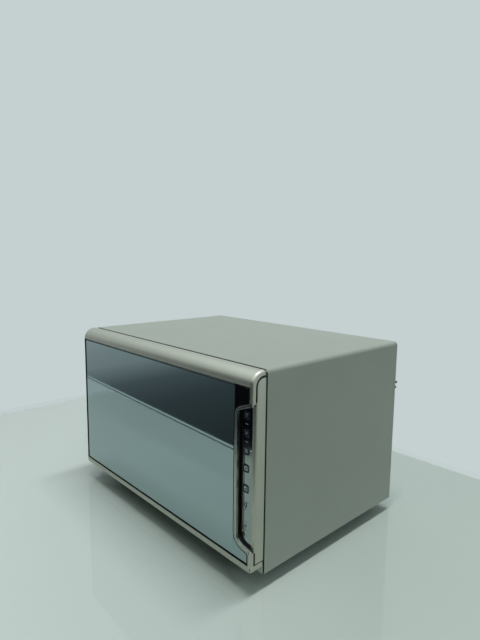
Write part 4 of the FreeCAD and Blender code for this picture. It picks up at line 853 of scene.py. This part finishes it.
def makeScreen():
    tree, sizes = startTree("perforated screen", screenSizes)
    rowStep = addNode(tree, "ShaderNodeMath", {"operation": "MULTIPLY", 1: math.sqrt(3) / 2}, {0: sizes["Pitch"]})
    lessOne = [addNode(tree, "ShaderNodeMath", {"operation": "SUBTRACT", 1: 1.0}, {0: sizes[way]})
               for way in ("Across", "Up")]
    width = addNode(tree, "ShaderNodeMath", {"operation": "MULTIPLY"}, {0: lessOne[0], 1: sizes["Pitch"]})
    height = addNode(tree, "ShaderNodeMath", {"operation": "MULTIPLY"}, {0: lessOne[1], 1: rowStep})
    grid = addNode(tree, "GeometryNodeMeshGrid", {}, {
        "Size X": width, "Size Y": height, "Vertices X": sizes["Across"], "Vertices Y": sizes["Up"]})
    place = addNode(tree, "ShaderNodeSeparateXYZ", {}, {0: addNode(tree, "GeometryNodeInputPosition")})
    halfHeight = addNode(tree, "ShaderNodeMath", {"operation": "MULTIPLY", 1: 0.5}, {0: height})
    fromLow = addNode(tree, "ShaderNodeMath", {"operation": "ADD"}, {0: place.outputs["Y"], 1: halfHeight})
    row = addNode(tree, "ShaderNodeMath", {"operation": "DIVIDE"}, {0: fromLow, 1: rowStep})
    row = addNode(tree, "ShaderNodeMath", {"operation": "ROUND"}, {0: row})
    odd = addNode(tree, "ShaderNodeMath", {"operation": "MODULO", 1: 2.0}, {0: row})
    odd = addNode(tree, "ShaderNodeMath", {"operation": "SUBTRACT", 1: 0.5}, {0: odd})
    slide = addNode(tree, "ShaderNodeMath", {"operation": "MULTIPLY"}, {0: odd, 1: sizes["Pitch"]})
    slide = addNode(tree, "ShaderNodeMath", {"operation": "MULTIPLY", 1: 0.5}, {0: slide})
    shifted = addNode(tree, "GeometryNodeSetPosition", {}, {
        "Geometry": grid, "Offset": addNode(tree, "ShaderNodeCombineXYZ", {}, {"X": slide})})
    split = addNode(tree, "GeometryNodeTriangulate", {"quad_method": "SHORTEST_DIAGONAL"}, {0: shifted})
    cells = addNode(tree, "GeometryNodeDualMesh", {}, {0: split})
    inset = addNode(tree, "GeometryNodeExtrudeMesh", {"mode": "FACES", "Offset Scale": 0.0, "Individual": True},
                    {0: cells})
    holes = addNode(tree, "GeometryNodeScaleElements", {}, {
        "Geometry": inset.outputs["Mesh"], "Scale": sizes["Open"], "Selection": inset.outputs["Top"]})
    opened = addNode(tree, "GeometryNodeDeleteGeometry", {"domain": "FACE"}, {
        "Geometry": holes, "Selection": inset.outputs["Top"]})
    rear = addNode(tree, "GeometryNodeExtrudeMesh", {"mode": "FACES", "Individual": False}, {
        0: opened, "Offset Scale": sizes["Sheet"]})
    sheet = addNode(tree, "GeometryNodeJoinGeometry")
    for side in (addNode(tree, "GeometryNodeFlipFaces", {}, {0: opened}), rear):
        tree.links.new(side.outputs[0], sheet.inputs[0])
    welded = addNode(tree, "GeometryNodeMergeByDistance", {"Distance": 1e-6}, {0: sheet})
    upright = addNode(tree, "GeometryNodeTransform", {"Rotation": (math.radians(90), 0, 0)}, {0: welded})
    endTree(tree, upright, finishes["black"])
    piece = runTree(tree, "doorScreen", screenSizes)
    low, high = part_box("door_screen")
    piece.data.transform(Matrix.Translation(((low.x + high.x) / 2, high.y, (low.z + high.z) / 2)))
    settle(piece, "door", None, ["door_screen"])
    print("door screen:", len(piece.data.polygons), "faces")


makeScreen()


# Rear screws: pan heads with a cross recess; metres
screwSizes = {"Head": 0.0035, "Rise": 0.002, "Shank": 0.0016, "Reach": 0.006}
# shares of those sizes; then a screw's random turn in radians, and how far below the top one the side screws sit
screwShares = {"rim": ("Rise", 0.55), "dome": ("Rise", 0.45), "flat": ("Head", 0.66), "slotLong": ("Head", 1.15),
               "slotWide": ("Head", 0.26), "deep": ("Rise", 1.2), "rimMiddle": ("Rise", 0.275),
               "under": ("Reach", -0.5)}
screwPlaces = {"seed": 3, "mostTurn": 6.28, "sideDrop": 0.027}


def makeScrews():
    tree, sizes = startTree("cross recess screw", screwSizes)
    share = {}
    for label, (source, factor) in screwShares.items():
        share[label] = addNode(tree, "ShaderNodeMath", {"operation": "MULTIPLY", 1: factor}, {0: sizes[source]})
    shapes = [
        (addNode(tree, "GeometryNodeMeshCylinder", {"Vertices": 24}, {
            "Radius": sizes["Head"], "Depth": share["rim"]}), share["rimMiddle"]),
        (addNode(tree, "GeometryNodeMeshCone", {"Vertices": 24}, {
            "Radius Bottom": sizes["Head"], "Radius Top": share["flat"], "Depth": share["dome"]}), share["rim"]),
        (addNode(tree, "GeometryNodeMeshCylinder", {"Vertices": 12}, {
            "Radius": sizes["Shank"], "Depth": sizes["Reach"]}), share["under"]),
    ]
    for long, wide in (("slotLong", "slotWide"), ("slotWide", "slotLong")):
        bar = addNode(tree, "ShaderNodeCombineXYZ", {}, {"X": share[long], "Y": share[wide], "Z": share["deep"]})
        shapes.append((addNode(tree, "GeometryNodeMeshCube", {}, {"Size": bar}), sizes["Rise"]))
    placed = []
    for shape, height in shapes:
        lift = addNode(tree, "ShaderNodeCombineXYZ", {}, {"Z": height})
        placed.append(addNode(tree, "GeometryNodeTransform", {}, {0: shape, "Translation": lift}))
    rim, dome, shank, *bars = placed
    head = addNode(tree, "GeometryNodeMeshBoolean", {"operation": "UNION"})
    recess = addNode(tree, "GeometryNodeMeshBoolean", {"operation": "UNION"})
    for union, members in ((head, (rim, dome)), (recess, bars)):
        for member in members:
            tree.links.new(member.outputs[0], union.inputs["Mesh 2"])
    cut = addNode(tree, "GeometryNodeMeshBoolean", {"operation": "DIFFERENCE"}, {"Mesh 1": head, "Mesh 2": recess})
    screw = addNode(tree, "GeometryNodeJoinGeometry", {}, {0: cut})
    tree.links.new(shank.outputs[0], screw.inputs[0])
    spin = addNode(tree, "FunctionNodeRandomValue", {
        "data_type": "FLOAT", "Seed": screwPlaces["seed"], 3: screwPlaces["mostTurn"]})
    turned = addNode(tree, "ShaderNodeCombineXYZ", {"X": math.radians(-90)}, {"Y": spin.outputs[1]})
    rows = addNode(tree, "GeometryNodeInstanceOnPoints", {}, {
        "Points": sizes["Places"], "Instance": screw, "Rotation": turned})
    endTree(tree, rows, finishes["zinc"])
    low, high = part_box("case_screws")
    rear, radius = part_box("rear_panel")[1].y, screwSizes["Head"]
    side, bottom, top = high.x - radius, low.z + radius, high.z - radius
    places = [(x, rear, z) for x in (-side, side) for z in (bottom, top - screwPlaces["sideDrop"])]
    places.append((0, rear, top))
    piece = runTree(tree, "rearScrews", screwSizes, places)
    settle(piece, "case", None, ["case_screws"])
    print("rear screws:", len(places))


makeScrews()


# Rows of small round holes through the cavity's walls, over the lamp and at the air outlet, drawn as thin black discs
# of painted shade on the wall; metres, middles along Y and Z. Every other row is one hole shorter, and rows stand
# closer than holes in a row
holeSizes = {"Radius": 0.0016, "Thick": 0.0003}
holeFields = {"lampHoleShade": {"wall": "right", "middle": (0.0782, 0.221), "pitch": 0.0052, "across": 5, "up": 5},
              "outletHoleShade": {"wall": "left", "middle": (0.085, 0.205), "pitch": 0.0062, "across": 13, "up": 7}}
holeWall = {"sheet": 0.0008, "rowStep": 0.866}


def makeHoles():
    tree, sizes = startTree("painted hole shade", holeSizes)
    # painted shade: each hole is a thin black disc on the wall
    disc = addNode(tree, "GeometryNodeMeshCylinder", {"Vertices": 12}, {
        "Radius": sizes["Radius"], "Depth": sizes["Thick"]})
    rows = addNode(tree, "GeometryNodeInstanceOnPoints", {"Rotation": (0, math.radians(90), 0)}, {
        "Points": sizes["Places"], "Instance": disc})
    endTree(tree, rows, finishes["sealAndShade"])
    low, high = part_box("oven_cavity")
    walls = {"right": high.x - holeWall["sheet"], "left": low.x + holeWall["sheet"]}
    for name, field in holeFields.items():
        y, z = field["middle"]
        places = []
        for row in range(field["up"]):
            count = field["across"] - row % 2
            rise = (row - (field["up"] - 1) / 2) * field["pitch"] * holeWall["rowStep"]
            for column in range(count):
                places.append((walls[field["wall"]], y + (column - (count - 1) / 2) * field["pitch"], z + rise))
        settle(runTree(tree, name, holeSizes, places), "case", None)
    print("cavity holes made")


makeHoles()


# Stage: a glass-topped table in a pale booth with an open, darker front; metres
booth = {"left": -0.737, "front": -0.475, "back": 0.40, "right": 2.4, "apron": 1.6, "wall": "#c5d0d1",
         # the two floor colours are painted light falloff, bright at the left and darker at the right
         "floor": ("#e2eee9", "#c7d5cd"), "floorSpan": (-0.4, 0.2), "floorAcross": (0.677, 0.736, 0),
         "glass": 0.011, "glassRight": 0.75, "glassRoughness": 0.04, "glassIor": 1.45}
# first edge, last edge and soft border of the shaded part of the table
shade = {"span": {"X": (-0.195, 0.205, 0.05), "Y": (-0.168, 0.12, 0.018)}, "colour": "#8f9c94"}
# what the mirrored door sees past the table's front edge, which runs a little askew: a dim floor, a pale lip and a
# dark joint; how near and far each card reaches, its height, and its colours along a span of X
frontEdge = {"place": -0.451, "slope": 0.0469, "half": 3}
frontCards = {
    "dimFront": {"reach": (0.0, 9.0), "height": 0.0004, "span": (-1.5, 0.2), "colours": [
        (0.0, "#b0b8bb"), (1.0, "#2a3033"), (0.27, "#9ea7aa"), (0.436, "#646d71"), (0.574, "#4a5357"),
        (0.765, "#3a4246")]},
    "tableLip": {"reach": (0.004, 0.013), "height": 0.0006, "span": (-1, 0), "colours": [
        (0.0, "#c2cecb"), (1.0, "#c2cecb")]},
    "tableJoint": {"reach": (0.0, 0.004), "height": 0.0008, "span": (-1.5, -0.2), "colours": [
        (0.0, "#7d8a88"), (1.0, "#2a3333"), (0.6, "#2a3333")]},
}
# the far side of the dim room
dimRoom = {"left": -5, "right": 4, "place": -2.4, "rise": 1.5, "span": (-5, -1.5), "colours": [
    (0.0, "#b0b8bb"), (1.0, "#3a4144"), (0.5, "#767e82")]}


def card(name, corners):
    mesh = bpy.data.meshes.new(name)
    mesh.from_pydata(corners, [], [tuple(range(len(corners)))])
    piece = addObject(name, mesh)
    return piece


def flatCard(name, left, right, near, far, height):
    return card(name, [(left, near, height), (right, near, height), (right, far, height), (left, far, height)])


def emptyMaterial(name):
    material = bpy.data.materials.new(name)
    material.use_nodes = True
    material.node_tree.nodes.clear()
    addNode(material.node_tree, "ShaderNodeOutputMaterial")
    return material, material.node_tree


def seenFromBelow(tree, shader):
    # the stage is clear from behind, so the part's underside can be looked at
    under = addNode(tree, "ShaderNodeNewGeometry").outputs["Backfacing"]
    clear = addNode(tree, "ShaderNodeBsdfTransparent")
    mix = addNode(tree, "ShaderNodeMixShader", {}, {0: under, 1: shader, 2: clear})
    output = next(node for node in tree.nodes if node.type == "OUTPUT_MATERIAL")
    tree.links.new(mix.outputs[0], output.inputs["Surface"])


def glossyCard(name, corners, span, colours):
    # a card that only reflections see; colours run along X over the span
    piece = card(name, corners)
    piece.visible_camera = False
    piece.visible_diffuse = False
    piece.visible_shadow = False
    piece.visible_transmission = False
    material, tree = emptyMaterial(name)
    parts = addNode(tree, "ShaderNodeSeparateXYZ", {}, {0: addNode(tree, "ShaderNodeTexCoord").outputs["Object"]})
    along = addNode(tree, "ShaderNodeMapRange", {"From Min": span[0], "From Max": span[1]},
                    {"Value": parts.outputs["X"]})
    ramp = addNode(tree, "ShaderNodeValToRGB", {}, {0: along})
    for i, (place, colour) in enumerate(colours):
        stop = ramp.color_ramp.elements[i] if i < 2 else ramp.color_ramp.elements.new(place)
        stop.position = place
        stop.color = linear(colour)
    seenFromBelow(tree, addNode(tree, "ShaderNodeEmission", {"Strength": 1.0}, {"Color": ramp}))
    piece.data.materials.append(material)


def whiteTable():
    # painted light falloff: the table's colour darkens from its left end to its right
    material, tree, shader, coords = startMaterial("white table", {"Roughness": 0.6, "Specular IOR Level": 0.2})
    across = addNode(tree, "ShaderNodeVectorMath", {"operation": "DOT_PRODUCT", 1: booth["floorAcross"]}, {0: coords})
    start, end = booth["floorSpan"]
    share = addNode(tree, "ShaderNodeMapRange", {"From Min": start, "From Max": end},
                    {"Value": across.outputs["Value"]})
    bright, dim = booth["floor"]
    tint = addNode(tree, "ShaderNodeMix", {"data_type": "RGBA", 6: linear(bright), 7: linear(dim)}, {0: share})
    # little light gets in under the door and the case
    place = addNode(tree, "ShaderNodeSeparateXYZ", {}, {0: coords})
    inside = None
    for axis, (first, last, soft) in shade["span"].items():
        for edge, reach in ((first, soft), (last, -soft)):
            rise = addNode(tree, "ShaderNodeMapRange", {"From Min": edge, "From Max": edge + reach},
                           {"Value": place.outputs[axis]})
            inside = rise if inside is None else addNode(
                tree, "ShaderNodeMath", {"operation": "MINIMUM"}, {0: inside, 1: rise})
    tint = addNode(tree, "ShaderNodeMix", {"data_type": "RGBA", 7: linear(shade["colour"])},
                   {0: inside, 6: tint.outputs[2]})
    tree.links.new(tint.outputs[2], shader.inputs["Base Color"])
    seenFromBelow(tree, shader)
    return material


def tableGlass():
    # clear sheet that the part stands on: it only reflects, and lets light and shadow through
    material, tree = emptyMaterial("table glass")
    clear = addNode(tree, "ShaderNodeBsdfTransparent")
    shine = addNode(tree, "ShaderNodeBsdfGlossy", {"Roughness": booth["glassRoughness"]})
    edgeOn = addNode(tree, "ShaderNodeFresnel", {"IOR": booth["glassIor"]})
    seenFromBelow(tree, addNode(tree, "ShaderNodeMixShader", {}, {0: edgeOn, 1: clear, 2: shine}))
    return material


def makeStage():
    left, near, far = booth["left"], booth["front"], booth["back"]
    floor = flatCard("tableTop", left, booth["right"], near - booth["apron"], far, -booth["glass"])
    floor.data.materials.append(whiteTable())
    pane = flatCard("tableGlass", left, booth["glassRight"], near, far, 0)
    pane.data.materials.append(tableGlass())
    half = frontEdge["half"]
    for name, look in frontCards.items():
        start, end = look["reach"]
        corners = [(x, frontEdge["place"] + frontEdge["slope"] * x - reach, look["height"])
                   for x, reach in ((-half, end), (half, end), (half, start), (-half, start))]
        glossyCard(name, corners, look["span"], look["colours"])
    left, right, place, rise = (dimRoom[label] for label in ("left", "right", "place", "rise"))
    corners = [(left, place, 0), (left, place, rise), (right, place, rise), (right, place, 0)]
    glossyCard("dimRoom", corners, dimRoom["span"], dimRoom["colours"])


# Light: fill that grows with height, a ceiling that reflections see brighter, and one long lamp
lighting = {"fill": "#e6efee", "fillLow": 0.175, "fillHigh": 0.43, "fillTop": 0.8, "ceiling": 2.2,
            "ceilingSpan": (0.42, 0.8), "lampSize": (0.3, 1.8), "lampPlace": (0.35, 0.05, 3.4), "lampPower": 51}


def makeLight():
    world = bpy.data.worlds.new("booth")
    scene.world = world
    world.use_nodes = True
    tree = world.node_tree
    tree.nodes.clear()
    path = addNode(tree, "ShaderNodeLightPath").outputs
    seen = path["Is Camera Ray"]
    for ray in ("Is Glossy Ray", "Is Transmission Ray"):
        seen = addNode(tree, "ShaderNodeMath", {"operation": "MAXIMUM"}, {0: seen, 1: path[ray]})
    sky = addNode(tree, "ShaderNodeSeparateXYZ", {}, {0: addNode(tree, "ShaderNodeTexCoord").outputs["Generated"]})
    rise = addNode(tree, "ShaderNodeMapRange", {
        "From Min": 0.0, "From Max": lighting["fillTop"], "To Min": lighting["fillLow"],
        "To Max": lighting["fillHigh"]}, {"Value": sky.outputs["Z"]})
    fill = addNode(tree, "ShaderNodeBackground", {"Color": linear(lighting["fill"])}, {"Strength": rise})
    start, end = lighting["ceilingSpan"]
    bright = addNode(tree, "ShaderNodeMapRange", {
        "From Min": start, "From Max": end, "To Min": 1.0, "To Max": lighting["ceiling"]},
        {"Value": sky.outputs["Z"]})
    bright = addNode(tree, "ShaderNodeMix", {2: 1.0}, {0: path["Is Glossy Ray"], 3: bright})
    wall = addNode(tree, "ShaderNodeBackground", {"Color": linear(booth["wall"])}, {"Strength": bright})
    mix = addNode(tree, "ShaderNodeMixShader", {}, {0: seen, 1: fill, 2: wall})
    addNode(tree, "ShaderNodeOutputWorld", {}, {"Surface": mix})
    lamp = bpy.data.lights.new("ceiling", "AREA")
    lamp.shape = "RECTANGLE"
    lamp.size, lamp.size_y = lighting["lampSize"]
    lamp.energy = lighting["lampPower"]
    addObject("ceiling", lamp).location = lighting["lampPlace"]


makeStage()
makeLight()
print("stage and light made")
